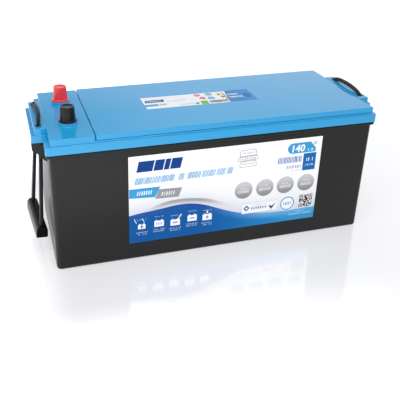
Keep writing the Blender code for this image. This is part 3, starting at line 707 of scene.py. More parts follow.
# %% Lid
TERMINAL_X, TERMINAL_Y = -205 * MM, {"positive": 41.5 * MM, "negative": -41.5 * MM}
Z_TOP, Z_COLLAR = 202 * MM, 205.3 * MM
Z_SKIRT, Z_DECK, Z_FIELD, Z_TERMINAL_END = 179.4 * MM, 191.7 * MM, 194 * MM, 201 * MM
LID_X, LID_Y = 235.5 * MM, 92.5 * MM         # half of the lid's upper steps and of the cover
BUSH_HOLE, VALVE_HOLE, ARRESTOR_HOLE = 10.3 * MM, 9 * MM, 7.3 * MM
THROUGH_LID = (210 * MM, 180 * MM)           # from above the lid to below its ceiling
GROOVE_RADIUS = 3.4 * MM


def collar(centre):
    """A ring with a rounded shoulder, standing on the terminal end."""
    return lathe([(0, Z_COLLAR), (13.4 * MM, Z_COLLAR), (14.0 * MM, Z_COLLAR - 0.25 * MM),
                  (14.3 * MM, Z_COLLAR - 0.9 * MM), (14.4 * MM, 201.9 * MM), (14.9 * MM, 201.2 * MM),
                  (15.4 * MM, 200.9 * MM), (15.4 * MM, 195 * MM), (0, 195 * MM)], centre, 64)


def rope_groove(end, sign):
    """The way out of the ledge: a tube a little thicker than the rope, along its arch."""
    line = curve_through("groove", smooth(arch_points(end, sign), 2 * MM))
    line.bevel_depth, line.bevel_resolution, line.use_fill_caps = GROOVE_RADIUS, 6, True
    made = show("groove", take_mesh(show("groove", line)))
    made.hide_render = True
    return made


def over_node(name):
    """The middle of a node as seen from above."""
    low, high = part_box(name)
    return ((low[0] + high[0]) / 2, (low[1] + high[1]) / 2)


def make_lid():
    """Skirt, deck, terminal end, ledges and collars joined, then every hole cut through them."""
    lid = show("lid_moulding", mesh_of(block(symmetric(242 * MM), symmetric(94.5 * MM), (Z_SKIRT, Z_DECK),
                                             5 * MM, top=1.3 * MM, foot=0.5 * MM, quarter=8)))
    add = [tool(block(symmetric(LID_X), symmetric(LID_Y), (186 * MM, Z_FIELD), 4 * MM, top=0.9 * MM)),
           tool(block((-LID_X, -176.2 * MM), symmetric(LID_Y), (185 * MM, Z_TERMINAL_END), 2.4 * MM,
                      top=1.1 * MM))]
    for _, sign in sides():
        inner = 234.5 * MM if sign < 0 else 235.8 * MM
        for reach, half, top in ((LEDGE_OUT * MM, LEDGE_HALF, 192.6 * MM), (252.0 * MM, 52.8 * MM, Z_TOP)):
            span = tuple(sorted((sign * inner, sign * reach)))
            add.append(tool(block(span, symmetric(half), (181.9 * MM, top), 2 * MM, top=1.0 * MM,
                                  foot=0.5 * MM)))
    add += [tool(collar((TERMINAL_X, y))) for y in TERMINAL_Y.values()]
    shape(lid, add)
    remove = [tool(block(symmetric(CASE_LENGTH / 2 + GAP), symmetric(CASE_WIDTH / 2 + GAP),
                         (170 * MM, 188.3 * MM), CASE_CORNER, top=0.3 * MM))]
    remove += [drill(BUSH_HOLE, *THROUGH_LID, (TERMINAL_X, y), steps=48) for y in TERMINAL_Y.values()]
    remove += [drill(VALVE_HOLE, *THROUGH_LID, over_node(f"valve_plug_{n}")) for n in range(1, 7)]
    remove += [drill(ARRESTOR_HOLE, 200 * MM, 191.4 * MM, over_node(f"flame_arrestor_{end}"))
               for end, _ in sides()]
    mouth = [(0, 203 * MM), (5.8 * MM, 203 * MM), (4.9 * MM, Z_TOP), (4.1 * MM, 200.8 * MM),
             (3.5 * MM, 199 * MM), (3.2 * MM, 197.5 * MM), (0, 197.5 * MM)]
    for _, sign in sides():
        for hand in (-1, 1):
            remove.append(drill(ROPE_HOLE, 210 * MM, 176 * MM, (sign * ROPE_X, hand * ROPE_Y)))
            remove.append(tool(lathe(mouth, (sign * ROPE_X, hand * (ROPE_Y - 1.5 * MM)), 32)))
    remove.append(rope_groove("right", 1))
    finish_piece(shape(lid, remove=remove), BLUE_PP, "root", "lid", "lid")


make_lid()

# %% [markdown]
# ## The top cover
#
# A flat tray closes the valves, with a shallow field for the label in its top. It is a rounded block with two
# cuts: the room for the valves underneath, and the field.

# %% Top cover
def make_cover():
    """A flat tray: hollow underneath for the valves, with the label's field in its top."""
    cover = show("cover_moulding", mesh_of(block((-175.6 * MM, LID_X), symmetric(LID_Y), (194.6 * MM, Z_TOP),
                                                 2 * MM, top=1.1 * MM, foot=0.6 * MM)))
    field_x, field_y, field_z = grown(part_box("top_label"), GAP)
    remove = [tool(block((-172.6 * MM, 232.5 * MM), symmetric(89.5 * MM), (189 * MM, 199.6 * MM), 2 * MM)),
              tool(block(field_x, field_y, (field_z[0], 204 * MM), 0.8 * MM, foot=0.05 * MM))]
    finish_piece(shape(cover, remove=remove), BLUE_PP, "root", "top_cover", "top_cover")


make_cover()

# %% [markdown]
# ## Terminals and caps
#
# Each terminal is a cast lead cone, turned smooth. A soft cap covers it until the battery is fitted: a
# tapered cup with a small flange, a rounded rim and a shallow dish in its top. Both are turned shapes.

# %% Caps
def cap_profile():
    """(radius, height) points down the outside of a cap and up inside it."""
    top, low = 226.6 * MM, Z_COLLAR + 0.3 * MM
    outside = [(0, top - 0.9 * MM), (6.6 * MM, top - 0.9 * MM), (7.5 * MM, top - 0.6 * MM),
               (8.1 * MM, top - 0.15 * MM), (8.5 * MM, top), (9.0 * MM, top - 0.1 * MM),
               (9.3 * MM, top - 0.45 * MM), (9.45 * MM, top - 1.1 * MM), (10.7 * MM, low + 3.0 * MM),
               (11.0 * MM, low + 2.1 * MM), (11.7 * MM, low + 1.65 * MM), (12.5 * MM, low + 1.4 * MM),
               (12.8 * MM, low + 1.0 * MM), (12.8 * MM, low + 0.3 * MM), (12.6 * MM, low)]
    inside = [(10.2 * MM, low), (9.0 * MM, 223.4 * MM), (8.5 * MM, 223.7 * MM), (0, 223.7 * MM)]
    return outside + inside


for name, pole, finish in (("red_cap", "positive", RED_PE), ("black_cap", "negative", BLACK_PE)):
    cup = show(f"{name}_cup", mesh_of(lathe(cap_profile(), (TERMINAL_X, TERMINAL_Y[pole]), 72)))
    finish_piece(cup, finish, name, name, name, sharp=50)

# %% [markdown]
# ## Grips
#
# The grip is a hollow moulding with an arched top and a flat underside that the rope runs through. It is an
# outline pushed along its length and rounded at the ends, with the rope's channel cut out.

# %% Grips
GRIP_W, GRIP_H, GRIP_L = 8.2 * MM, 9 * MM, 50 * MM      # half of its width, height and length
CHANNEL = ROPE_RADIUS + 1 * MM


def make_grip(end, sign):
    """Shaped about its own middle, then set down where the rope's drop and turn hold it."""
    crown = [(math.cos(a) * GRIP_W, GRIP_H - GRIP_W + math.sin(a) * GRIP_W)
             for a in (math.pi * step / 16 for step in range(17))]
    outline = [(-GRIP_W + 1 * MM, -GRIP_H), (GRIP_W - 1 * MM, -GRIP_H), (GRIP_W, -GRIP_H + 1 * MM)]
    outline += crown + [(-GRIP_W, -GRIP_H + 1 * MM)]
    # (y, inset) of the sections: both ends draw in, which rounds their edges.
    sections = [(-GRIP_L, 1.4 * MM), (-GRIP_L + 0.3 * MM, 0.6 * MM), (-GRIP_L + 1.4 * MM, 0.0)]
    sections += [(-y, inset) for y, inset in reversed(sections)]
    bm = stack([[(x * (1 - inset / GRIP_W), y, z * (1 - inset / GRIP_H)) for x, z in outline]
                for y, inset in sections])
    grip = show(f"{end}_grip_moulding", mesh_of(bm))
    remove = [tool(block(symmetric(CHANNEL), symmetric(46 * MM), (-6 * MM, 5 * MM), 0.5 * MM))]
    remove += [drill(CHANNEL, 20 * MM, -3 * MM, (0, hand * ROPE_Y)) for hand in (-1, 1)]
    shape(grip, remove=remove)
    turn = Euler(GRIP_TURN[end]).to_matrix().to_4x4()
    grip.data.transform(handle_frame(end, sign) @ Matrix.Translation((0, 0, -ROPE_DROP[end])) @ turn)
    finish_piece(grip, GRIP_PP, f"{end}_handle", "grip", f"{end}_grip")


for end, sign in sides():
    make_grip(end, sign)

# %% [markdown]
# ## Terminal posts
#
# Each terminal is a cast lead bush moulded into the lid with the pole of its end cell burned into it. The
# pair is turned here as one smooth cone with the weld's low dome on top. Cast lead is a soft grey metal that
# dulls within days, so its material mixes clean metal with a matt bloom in patches a few millimetres wide.

# %% Lead
def lead_metal():
    """Cast lead: a 4 mm mottle of clean metal and matt bloom, over pits the size of sand grains."""
    made, tree, surface = new_material("cast_lead", "#8a8d92", Metallic=1.0)
    place = add_node(tree, "ShaderNodeTexCoord").outputs["Object"]
    bloom, pits = [add_node(tree, "ShaderNodeTexNoise", {"Vector": place, "Scale": 1 / (size * MM),
                                                         "Detail": detail}).outputs["Fac"]
                   for size, detail in ((4, 6.0), (0.8, 3.0))]
    tree.links.new(ramp(tree, bloom, (0.35, "#a9acb0"), (0.65, "#6d7076")), surface.inputs["Base Color"])
    rough = add_node(tree, "ShaderNodeMapRange", {"Value": bloom, "To Min": 0.32, "To Max": 0.6})
    tree.links.new(rough.outputs["Result"], surface.inputs["Roughness"])
    relief(tree, surface, pits, 0.05)
    return made


LEAD = lead_metal()

# %% Posts
CROWN = {"positive": 8.75 * MM, "negative": 7.95 * MM}   # the standard tapers: the positive one is thicker
for pole, y in TERMINAL_Y.items():
    low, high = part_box(f"{pole}_bush")
    top, foot, crown, core = high[2], (high[0] - low[0]) / 2, CROWN[pole], 5.7 * MM
    core_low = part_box(f"{pole}_pole")[0][2]
    profile = [(0, top), (4.6 * MM, top), (5.4 * MM, top - 0.15 * MM), (crown - 0.5 * MM, top - 0.2 * MM),
               (crown, top - 0.7 * MM), (foot, low[2] + 1 * MM), (foot - 0.4 * MM, low[2]),
               (core, low[2]), (core, core_low), (0, core_low)]
    post = show(f"{pole}_terminal_post", mesh_of(lathe(profile, (TERMINAL_X, y), 64)))
    finish_piece(post, LEAD, "root", "lead", f"{pole}_bush", f"{pole}_pole", sharp=40)

# %% [markdown]
# ## Inside the cells
#
# The pieces in the cells are simple solids whose shape is right already, so the CAD nodes stay and only
# their material slots are filled. Pasted plates are matt and granular, the glass mat is a felt of white
# fibres, the valves are grey polypropylene on rubber rings, and the arrestors are sintered polymer beads.

# %% Inner materials
def grainy(name, colour, other, grain_mm, depth_mm, roughness, low=0.35, high=0.65, stretch=(1, 1, 1)):
    """A matt surface of two mixed tones with relief of the same grain."""
    made, tree, surface = new_material(name, colour, Roughness=roughness)
    place = add_node(tree, "ShaderNodeTexCoord").outputs["Object"]
    scaled = add_node(tree, "ShaderNodeMapping", {"Vector": place, "Scale": stretch})
    grain = add_node(tree, "ShaderNodeTexNoise", {"Vector": scaled.outputs[0], "Scale": 1 / (grain_mm * MM),
                                                 "Detail": 5.0, "Roughness": 0.6})
    colours = ramp(tree, grain.outputs["Fac"], (low, colour), (high, other))
    tree.links.new(colours, surface.inputs["Base Color"])
    relief(tree, surface, grain.outputs["Fac"], depth_mm)
    return made


INNER = {
    # Lead dioxide paste: chocolate brown and dusty.
    "positive_plates": grainy("lead_dioxide_paste", "#3d2620", "#553a30", 1.5, 0.12, 0.9),
    # Sponge lead paste: slate grey, a little smoother.
    "negative_plates": grainy("sponge_lead_paste", "#6a6e72", "#84888c", 1.5, 0.1, 0.75),
    # Absorbent glass mat: white felt whose fibres lie flat, so the grain is drawn out sideways.
    "glass_mat": grainy("glass_fibre_mat", "#e9e9e4", "#d2d2cb", 1.0, 0.15, 0.95, stretch=(0.4, 0.4, 2.0)),
    # Valve plugs: plain grey moulding with a fine spark-eroded grain.
    "valve_plug": grainy("grey_polypropylene", "#6b6c6f", "#606164", 0.7, 0.02, 0.45),
    # Sealing rings: matt rubber with a talc bloom.
    "valve_seal": grainy("sealing_rubber", "#151515", "#232323", 2.5, 0.02, 0.8),
    # Arrestors: sintered beads, so the relief is deep and pebbly.
    "flame_arrestor": grainy("sintered_beads", "#d9d5ca", "#a8a398", 0.6, 0.3, 0.9, 0.42, 0.58),
    "lead": LEAD,
}
slot_of = {part["node"]: part["material_slot"] for part in frame["record"]["subparts"]}
for name, obj in nodes.items():
    material = INNER.get(slot_of.get(name))
    if material and not obj.hide_render:
        dress(obj, material)
print("inner nodes:", sum(slot_of[n] in INNER for n in nodes))

# %% [markdown]
# ## The labels: film
#
# Each label is a printed film with a clear satin laminate. Large soft areas of colour, such as the wave and
# the grey sweep above it, belong in the film's material, because they blend into each other. The wave's edge
# is a curve drawn through a few points along the label, read from the Object coordinates in millimetres.

# %% Film helpers
FRONT_X, FRONT_Z = (-135.0, 161.0), (26.0, 165.5)     # the artwork's own edges, in its units
FILM_X, FILM_Z = (-133.5, 157.0), (27.8, 165.0)       # the film's edges on the wall, in mm
CURVE_TOP = 200.0                                     # the height in mm that a float curve's 1 stands for
LEAN_LINE = 1 / 188                                   # the wall's draft, which the label follows


def millimetres(tree):
    """The surface point as separate x, y and z in millimetres."""
    place = add_node(tree, "ShaderNodeTexCoord").outputs["Object"]
    scaled = add_node(tree, "ShaderNodeVectorMath", {0: place, "Scale": 1000.0}, operation="SCALE")
    return add_node(tree, "ShaderNodeSeparateXYZ", {0: scaled.outputs[0]}).outputs


def artwork(tree):
    """Where the surface point lies on the front label's artwork: across and up, in its units."""
    x, _, z = millimetres(tree)
    spots = [add_node(tree, "ShaderNodeMapRange", {"Value": value, "From Min": film[0], "From Max": film[1],
                                                  "To Min": art[0], "To Max": art[1]}, clamp=False)
             for value, film, art in ((x, FILM_X, FRONT_X), (z, FILM_Z, FRONT_Z))]
    return [spot.outputs[0] for spot in spots]


def profile_line(tree, x, points):
    """A smooth height in mm drawn through (x, height) points along the label."""
    share = add_node(tree, "ShaderNodeMapRange", {"Value": x, "From Min": FRONT_X[0], "From Max": FRONT_X[1]})
    line = add_node(tree, "ShaderNodeFloatCurve", {"Value": share.outputs[0]})
    curve = line.mapping.curves[0]
    for i, (at, height) in enumerate(points):
        spot = ((at - FRONT_X[0]) / (FRONT_X[1] - FRONT_X[0]), height / CURVE_TOP)
        if i < 2:
            curve.points[i].location = spot
        else:
            curve.points.new(*spot)
    line.mapping.update()
    return add_node(tree, "ShaderNodeMath", {0: line.outputs[0], 1: CURVE_TOP},
                    operation="MULTIPLY").outputs[0]


def fade(tree, value, low, high, start=0.0, end=1.0):
    """The start value below low, the end value above high, smooth between."""
    return add_node(tree, "ShaderNodeMapRange", {"Value": value, "From Min": low, "From Max": high,
                                                "To Min": start, "To Max": end},
                    interpolation_type="SMOOTHSTEP").outputs[0]


def laminate(tree, surface):
    """The clear film's slight orange peel, 6 mm across and a few hundredths deep."""
    place = add_node(tree, "ShaderNodeTexCoord").outputs["Object"]
    peel = add_node(tree, "ShaderNodeTexNoise", {"Vector": place, "Scale": 1 / 0.006, "Detail": 1.0})
    relief(tree, surface, peel.outputs["Fac"], 0.02)


# %% Front label film
# (along, up) points of the wave's edge and of the grey sweep's, in the artwork's units.
WAVE = [(-135, 72.5), (-118, 75), (-102, 76.5), (-86, 78.3), (-70, 80.3), (-54, 81), (-38, 79.4), (-21, 74.8),
        (2, 65), (19, 58), (37, 52.3), (54, 49.3), (72, 47.3), (96, 45.5), (121, 44.8), (145, 45.7),
        (161, 46)]
SWEEP = [(-135, 74), (-107, 81), (-86, 87.4), (-65, 90.2), (-43, 89.3), (-21, 85.6), (1, 78), (15, 72),
         (60, 56), (161, 50)]


def front_film():
    """White paper with a grey sweep, and a blue wave with a navy crest along the bottom."""
    made, tree, surface = new_material("printed_film_front", "#ffffff", Roughness=0.35, IOR=1.5,
                                       Specular_IOR_Level=0.12)
    x, z = artwork(tree)
    below_wave, below_sweep = [
        add_node(tree, "ShaderNodeMath", {0: profile_line(tree, x, edge), 1: z},
                 operation="SUBTRACT").outputs[0] for edge in (WAVE, SWEEP)]
    along = fade(tree, x, *FRONT_X)
    # White above, cooling to a pale lavender grey as it nears the wave.
    paper = ramp(tree, add_node(tree, "ShaderNodeMapRange", {"Value": below_wave, "From Min": -55.0,
                                                            "From Max": 0.0}).outputs[0],
                 (0.0, "#fdfdfe"), (0.55, "#f4f5f8"), (1.0, "#dcdde6"))
    # The grey sweep: firm at its upper edge, dissolving downwards and at both ends.
    sweep_mask = fade(tree, below_sweep, -0.4, 1.2)
    for part in (fade(tree, below_sweep, 3.0, 10.0, 1.0, 0.0), fade(tree, x, -118.0, -70.0),
                 fade(tree, x, -30.0, 22.0, 1.0, 0.0)):
        sweep_mask = add_node(tree, "ShaderNodeMath", {0: sweep_mask, 1: part},
                              operation="MULTIPLY").outputs[0]
    paper = over(tree, paper, linear("#a3a3a7"), sweep_mask)
    # The wave: deep blue on the left, lighter to the right, with a navy crest under its edge.
    body = ramp(tree, along, (0.0, "#0659a2"), (0.3, "#045ba3"), (0.55, "#096ab0"), (0.8, "#1d83c3"),
                (1.0, "#3699d2"))
    crest = ramp(tree, along, (0.0, "#205aa4"), (0.3, "#1f4c9a"), (0.55, "#3f7fc4"), (0.8, "#6fb0e0"),
                 (1.0, "#5cb2e4"))
    depth = fade(tree, below_wave, 0.0, 14.0)
    ink = over(tree, crest, body, depth)
    colour = over(tree, paper, ink, fade(tree, below_wave, -0.5, 0.7))
    tree.links.new(colour, surface.inputs["Base Color"])
    laminate(tree, surface)
    return made


def top_film():
    """Pale grey paper whose far part turns blue at a slanted edge."""
    made, tree, surface = new_material("printed_film_top", "#ffffff", Roughness=0.3, IOR=1.5,
                                       Specular_IOR_Level=0.15)
    x, y, _ = millimetres(tree)
    # The blue half begins at a slanted edge, which leans 0.149 mm along for each mm across.
    slanted = add_node(tree, "ShaderNodeMath", {0: y, 1: -0.149, 2: x}, operation="MULTIPLY_ADD").outputs[0]
    blue = ramp(tree, fade(tree, x, 42.0, 84.0), (0.0, "#1f78bb"), (1.0, "#1c86cc"))
    colour = over(tree, linear("#e9ecf0"), blue, fade(tree, slanted, 41.8, 42.4))
    tree.links.new(colour, surface.inputs["Base Color"])
    laminate(tree, surface)
    return made


for name, film in (("front_label", front_film()), ("top_label", top_film())):
    dress(nodes[name], film)
print("films printed")

# %% [markdown]
# ## The labels: ink
#
# Crisp printed shapes are thin layers of ink, cut as outlines and given 0.05 mm of thickness. Nothing is
# spelled out: a heading is four plain tiles, and a line of type is a row of short strokes, dense enough to
# give the page its grey without saying anything. Only the voltage and capacity figures are real characters.

# %% Ink materials
def printed_ink(name, colour, other=None, low=0.0, high=1.0):
    """A flat ink under laminate, or one that shades from low to high, in mm up the label."""
    made, tree, surface = new_material(name, colour, Roughness=0.35, IOR=1.5, Specular_IOR_Level=0.12)
    if other:
        _, _, z = millimetres(tree)
        tree.links.new(ramp(tree, fade(tree, z, low, high), (0.0, colour), (1.0, other)),
                       surface.inputs["Base Color"])
    laminate(tree, surface)
    return made


INKS = {
    "navy": printed_ink("navy_ink", "#0b3f86"),
    "blue": printed_ink("blue_ink", "#0d6db4"),
    "sky": printed_ink("sky_blue_ink", "#3a9fd6"),
    "grey": printed_ink("grey_ink", "#9a9a9c"),
    "pale": printed_ink("pale_grey_ink", "#b9babd"),
    "ball": printed_ink("shaded_grey_ink", "#8d8d90", "#cfcfd1", 76.0, 105.0),
    "white": printed_ink("white_ink", "#fafbfc"),
    "black": printed_ink("black_ink", "#35322f"),
    "red": printed_ink("red_ink", "#d8262c"),
    "green": printed_ink("green_ink", "#6fb52c"),
    "yellow": printed_ink("yellow_ink", "#d6c033"),
}
INK_ORDER = list(INKS)
INK_DEPTH = 0.05 * MM

# %% Ink shapes
class Print:
    """One label's ink, gathered shape by shape in mm; higher layers lie on top of lower ones."""

    def __init__(self, place):
        """The place function turns (across, up, out) metres on the label into the shared frame."""
        self.place = place
        self.bm = bmesh.new()

    def shape(self, ink, outline, layer=0):
        """A filled outline of (across, up) points in mm."""
        low, high = layer * INK_DEPTH, (layer + 1) * INK_DEPTH
        floor_ring = [self.bm.verts.new(self.place(u * MM, v * MM, low)) for u, v in outline]
        top_ring = [self.bm.verts.new(self.place(u * MM, v * MM, high)) for u, v in outline]
        faces = [self.bm.faces.new(top_ring), self.bm.faces.new(floor_ring[::-1])]
        for i in range(len(outline)):
            j = (i + 1) % len(outline)
            faces.append(self.bm.faces.new((floor_ring[i], floor_ring[j], top_ring[j], top_ring[i])))
        for face in faces:
            face.material_index = INK_ORDER.index(ink)

    def mesh(self, ink, mesh, layer=0):
        """A flat mesh whose x and y are millimetres across and up, given the ink's thickness."""
        for polygon in mesh.polygons:
            self.shape(ink, [tuple(mesh.vertices[i].co[:2]) for i in polygon.vertices], layer)

    def done(self, name, body, slot):
        """Turns the gathered ink into one piece."""
        bmesh.ops.recalc_face_normals(self.bm, faces=self.bm.faces[:])
        mesh = bpy.data.meshes.new(name)
        self.bm.to_mesh(mesh)
        self.bm.free()
        made = show(name, mesh)
        for ink in INK_ORDER:
            mesh.materials.append(INKS[ink])
        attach(made, body)
        print(name, len(mesh.polygons), "faces")
        return made


def slant_box(x, z, lean=0.0):
    """A box between x and z pairs whose upright sides lean by a share of its height."""
    shift = lean * (z[1] - z[0])
    return [(x[0], z[0]), (x[1], z[0]), (x[1] + shift, z[1]), (x[0] + shift, z[1])]


def disc(centre, radius, steps):
    """A round outline, or with few steps a diamond or a triangle."""
    return [(centre[0] + radius * math.cos(math.tau * i / steps),
             centre[1] + radius * math.sin(math.tau * i / steps)) for i in range(steps)]


def band(outline, inner):
    """The strip between two outlines of equal length, as four-sided pieces."""
    count = len(outline)
    return [[outline[i], outline[(i + 1) % count], inner[(i + 1) % count], inner[i]] for i in range(count)]


# %% [markdown]
# Rows of type repeat one stroke many times, so a Geometry Nodes tree sets them: a line of points, a unit
# stroke on each, a random width from a fixed seed with a given height, and a lean for italic rows. The square
# code and the perforated edge of a badge come from the same tree with square strokes and some left out.

# %% Type row tree
def row_tree():
    """A tree that sets a row of strokes of varied width, some left out, and leans them."""
    tree = bpy.data.node_groups.new("row_of_strokes", "GeometryNodeTree")
    for name, kind in (("Count", "NodeSocketInt"), ("Pitch", "NodeSocketFloat"), ("Width", "NodeSocketFloat"),
                       ("Height", "NodeSocketFloat"), ("Lean", "NodeSocketFloat"),
                       ("Left Out", "NodeSocketFloat"), ("Variety", "NodeSocketFloat"),
                       ("Seed", "NodeSocketInt"), ("Finish", "NodeSocketMaterial")):
        tree.interface.new_socket(name, in_out="INPUT", socket_type=kind)
    tree.interface.new_socket("Strokes", in_out="OUTPUT", socket_type="NodeSocketGeometry")
    given = add_node(tree, "NodeGroupInput").outputs
    step = add_node(tree, "ShaderNodeCombineXYZ", {"X": given["Pitch"]})
    line = add_node(tree, "GeometryNodeMeshLine", {"Count": given["Count"], "Offset": step.outputs[0]},
                    mode="OFFSET")
    drop = add_node(tree, "FunctionNodeRandomValue",
                    {"Probability": given["Left Out"], "Seed": given["Seed"]}, data_type="BOOLEAN")
    kept = add_node(tree, "GeometryNodeDeleteGeometry", {"Geometry": line.outputs[0],
                                                        "Selection": drop.outputs[3]})
    stroke = add_node(tree, "GeometryNodeMeshGrid", {"Size X": 1.0, "Size Y": 1.0, "Vertices X": 2,
                                                    "Vertices Y": 2})
    least = add_node(tree, "ShaderNodeMath", {0: 1.0, 1: given["Variety"]}, operation="SUBTRACT")
    which = add_node(tree, "GeometryNodeInputIndex").outputs[0]
    wide = add_node(tree, "FunctionNodeRandomValue", {"Min": least.outputs[0], "Max": 1.0,
                                                     "Seed": given["Seed"], "ID": which}, data_type="FLOAT")
    width = add_node(tree, "ShaderNodeMath", {0: wide.outputs[1], 1: given["Width"]}, operation="MULTIPLY")
    size = add_node(tree, "ShaderNodeCombineXYZ", {"X": width.outputs[0], "Y": given["Height"], "Z": 1.0})
    placed = add_node(tree, "GeometryNodeInstanceOnPoints", {"Points": kept.outputs[0],
                                                            "Instance": stroke.outputs[0],
                                                            "Scale": size.outputs[0]})
    real = add_node(tree, "GeometryNodeRealizeInstances", {"Geometry": placed.outputs[0]})
    position = add_node(tree, "GeometryNodeInputPosition").outputs[0]
    spot = add_node(tree, "ShaderNodeSeparateXYZ", {0: position})
    slide = add_node(tree, "ShaderNodeMath", {0: spot.outputs["Y"], 1: given["Lean"]}, operation="MULTIPLY")
    shift = add_node(tree, "ShaderNodeCombineXYZ", {"X": slide.outputs[0]})
    leaned = add_node(tree, "GeometryNodeSetPosition", {"Geometry": real.outputs[0],
                                                       "Offset": shift.outputs[0]})
    final = add_node(tree, "GeometryNodeSetMaterial", {"Geometry": leaned.outputs[0],
                                                      "Material": given["Finish"]})
    add_node(tree, "NodeGroupOutput", {"Strokes": final.outputs[0]})
    return tree


ROW = row_tree()


def strokes(count, pitch, width, height, seed, lean=0.0, left_out=0.0, variety=0.5):
    """A flat mesh of strokes from 0 to the right, centred on the line, in mm."""
    carrier = show("row", bpy.data.meshes.new("row"))
    row = carrier.modifiers.new("row", "NODES")
    row.node_group = ROW
    set_inputs(row, Count=count, Pitch=pitch, Width=width, Height=height, Lean=lean, Left_Out=left_out,
               Variety=variety, Seed=seed)
    return take_mesh(carrier)


def type_row(sheet, ink, x, z, height, seed, pitch, lean=0.0, layer=0, weight=0.62):
    """Strokes from x[0] to x[1], centred on the height z, as a line of type, one in twelve left out."""
    count = max(1, round((x[1] - x[0]) / pitch))
    mesh = strokes(count, (x[1] - x[0]) / count, weight * pitch, height, seed, lean, 0.08)
    mesh.transform(Matrix.Translation((x[0] + pitch / 2, z, 0)))
    sheet.mesh(ink, mesh, layer)


def figures(sheet, ink, text, x, z, size, layer=0, lean=0.0):
    """Bold figures in the built-in typeface, with their lower left corner at (x, z) in mm."""
    line = bpy.data.curves.new("figures", "FONT")
    line.body, line.size, line.resolution_u, line.offset = text, size, 3, 0.03 * size
    mesh = take_mesh(show("figures", line))
    mesh.transform(Matrix(((1, lean, 0, x), (0, 1, 0, z), (0, 0, 1, 0), (0, 0, 0, 1))))
    sheet.mesh(ink, mesh, layer)


# %% Front label print
def front_place(across, up, out):
    """A point of the artwork on the front label's face, which leans with the container's wall."""
    lean = math.atan(LEAN_LINE)
    scale_x = (FILM_X[1] - FILM_X[0]) / (FRONT_X[1] - FRONT_X[0])
    scale_z = (FILM_Z[1] - FILM_Z[0]) / (FRONT_Z[1] - FRONT_Z[0])
    local = Vector((FILM_X[0] * MM + (across - FRONT_X[0] * MM) * scale_x, -0.6 * MM - out,
                    FILM_Z[0] * MM + (up - FRONT_Z[0] * MM) * scale_z))
    return Matrix.Translation((0, -90.8 * MM, 0)) @ Matrix.Rotation(lean, 4, "X") @ local


front = Print(front_place)
# The heading: four plain navy tiles, and under them a line of fine upright strokes.
for x in ((-124, -101), (-99.6, -86), (-84.6, -77), (-75.6, -60)):
    front.shape("navy", slant_box(x, (140.5, 157), 0.22))

for x, seed in (((-126, -68), 3), ((-62, -54), 4), ((-49, 20), 5)):
    type_row(front, "sky", x, 126.5, 10.2, seed, pitch=2.2, lean=0.24, weight=0.7)
# The two tabs, each with a row of strokes.
front.shape("sky", [(-134.6, 115.2), (-89.2, 114.5), (-96.6, 98.3), (-134.6, 100.7)])
type_row(front, "white", (-124, -101), 107, 6.2, 11, pitch=3.4, lean=0.24, layer=1, weight=0.5)
front.shape("grey", [(-91.3, 110.2), (-56.6, 108.8), (-61.7, 94.4), (-96.6, 95.3)])
type_row(front, "white", (-88, -67), 102, 6.0, 12, pitch=3.4, lean=0.24, layer=1, weight=0.5)
# Four shaded roundels.
for number, x in enumerate((39.4, 73.5, 107.1, 141.3)):
    front.shape("ball", disc((x, 90.4), 14.2, 40))
    type_row(front, "white", (x - 9, x + 9), 88, 4.6, 20 + number, pitch=2.6, lean=0.3, layer=1, weight=0.5)
    type_row(front, "white", (x - 6, x + 5), 93 + number % 2, 2.2, 30 + number, pitch=2.0, layer=1,
             weight=0.4)
# The rating tag: round at its left end, cut off at a slant on its right.
tag = [(141, 141.5), (151.5, 141.5), (151.5, 148), (142, 158.5), (114, 158.5)]
tag += [(114 + 8.5 * math.cos(a), 150 + 8.5 * math.sin(a))
        for a in (math.pi / 2 + math.pi * i / 12 for i in range(13))]
front.shape("sky", tag)
figures(front, "white", "140", 110.2, 144.2, 15.5, layer=1, lean=0.05)
type_row(front, "white", (138.5, 147.5), 145.8, 4.0, 41, pitch=2.4, layer=1, weight=0.5)
figures(front, "sky", "12", 145.5, 153.6, 6.5, lean=0.1)
front.shape("blue", slant_box((132.5, 153.5), (111.5, 140.0)))
type_row(front, "white", (137, 149.5), 129.5, 5.6, 42, pitch=3.2, layer=1, weight=0.5)
type_row(front, "white", (136, 150.5), 120.5, 3.0, 43, pitch=2.0, layer=1, weight=0.4)
type_row(front, "blue", (91, 130), 131.8, 10.0, 44, pitch=2.5, weight=0.66)
type_row(front, "blue", (106, 130.5), 119.5, 5.0, 45, pitch=2.7, weight=0.42)
type_row(front, "grey", (113.5, 130.5), 113.4, 1.8, 46, pitch=1.8, weight=0.4)

# %% Stamp, badges and code
def turned(points, centre, degrees):
    """An outline turned about a centre."""
    turn = math.radians(degrees)
    return [(centre[0] + (u - centre[0]) * math.cos(turn) - (v - centre[1]) * math.sin(turn),
             centre[1] + (u - centre[0]) * math.sin(turn) + (v - centre[1]) * math.cos(turn))
            for u, v in points]


# A faint line-art stamp, tilted a few degrees.
stamp, plate = (43, 142.5), ((-1, -1), (1, -1), (1, 0.4), (0.85, 1), (-0.85, 1), (-1, 0.4))
for half_w, half_h, middle in ((13, 5.2, 151.5), (15.5, 3.6, 142.8), (13, 4.8, 133.8)):
    outer, inner = [[(stamp[0] + u * (half_w - line), middle + v * (half_h - line)) for u, v in plate]
                    for line in (0.0, 0.8)]
    for piece in band(outer, inner):
        front.shape("grey", turned(piece, stamp, 2))
type_row(front, "grey", (32, 54), 151.5, 2.6, 51, pitch=1.8, weight=0.42)
type_row(front, "grey", (30, 56), 142.8, 3.8, 52, pitch=2.6, weight=0.45)
type_row(front, "grey", (33, 53), 133.8, 2.6, 53, pitch=1.8, weight=0.42)

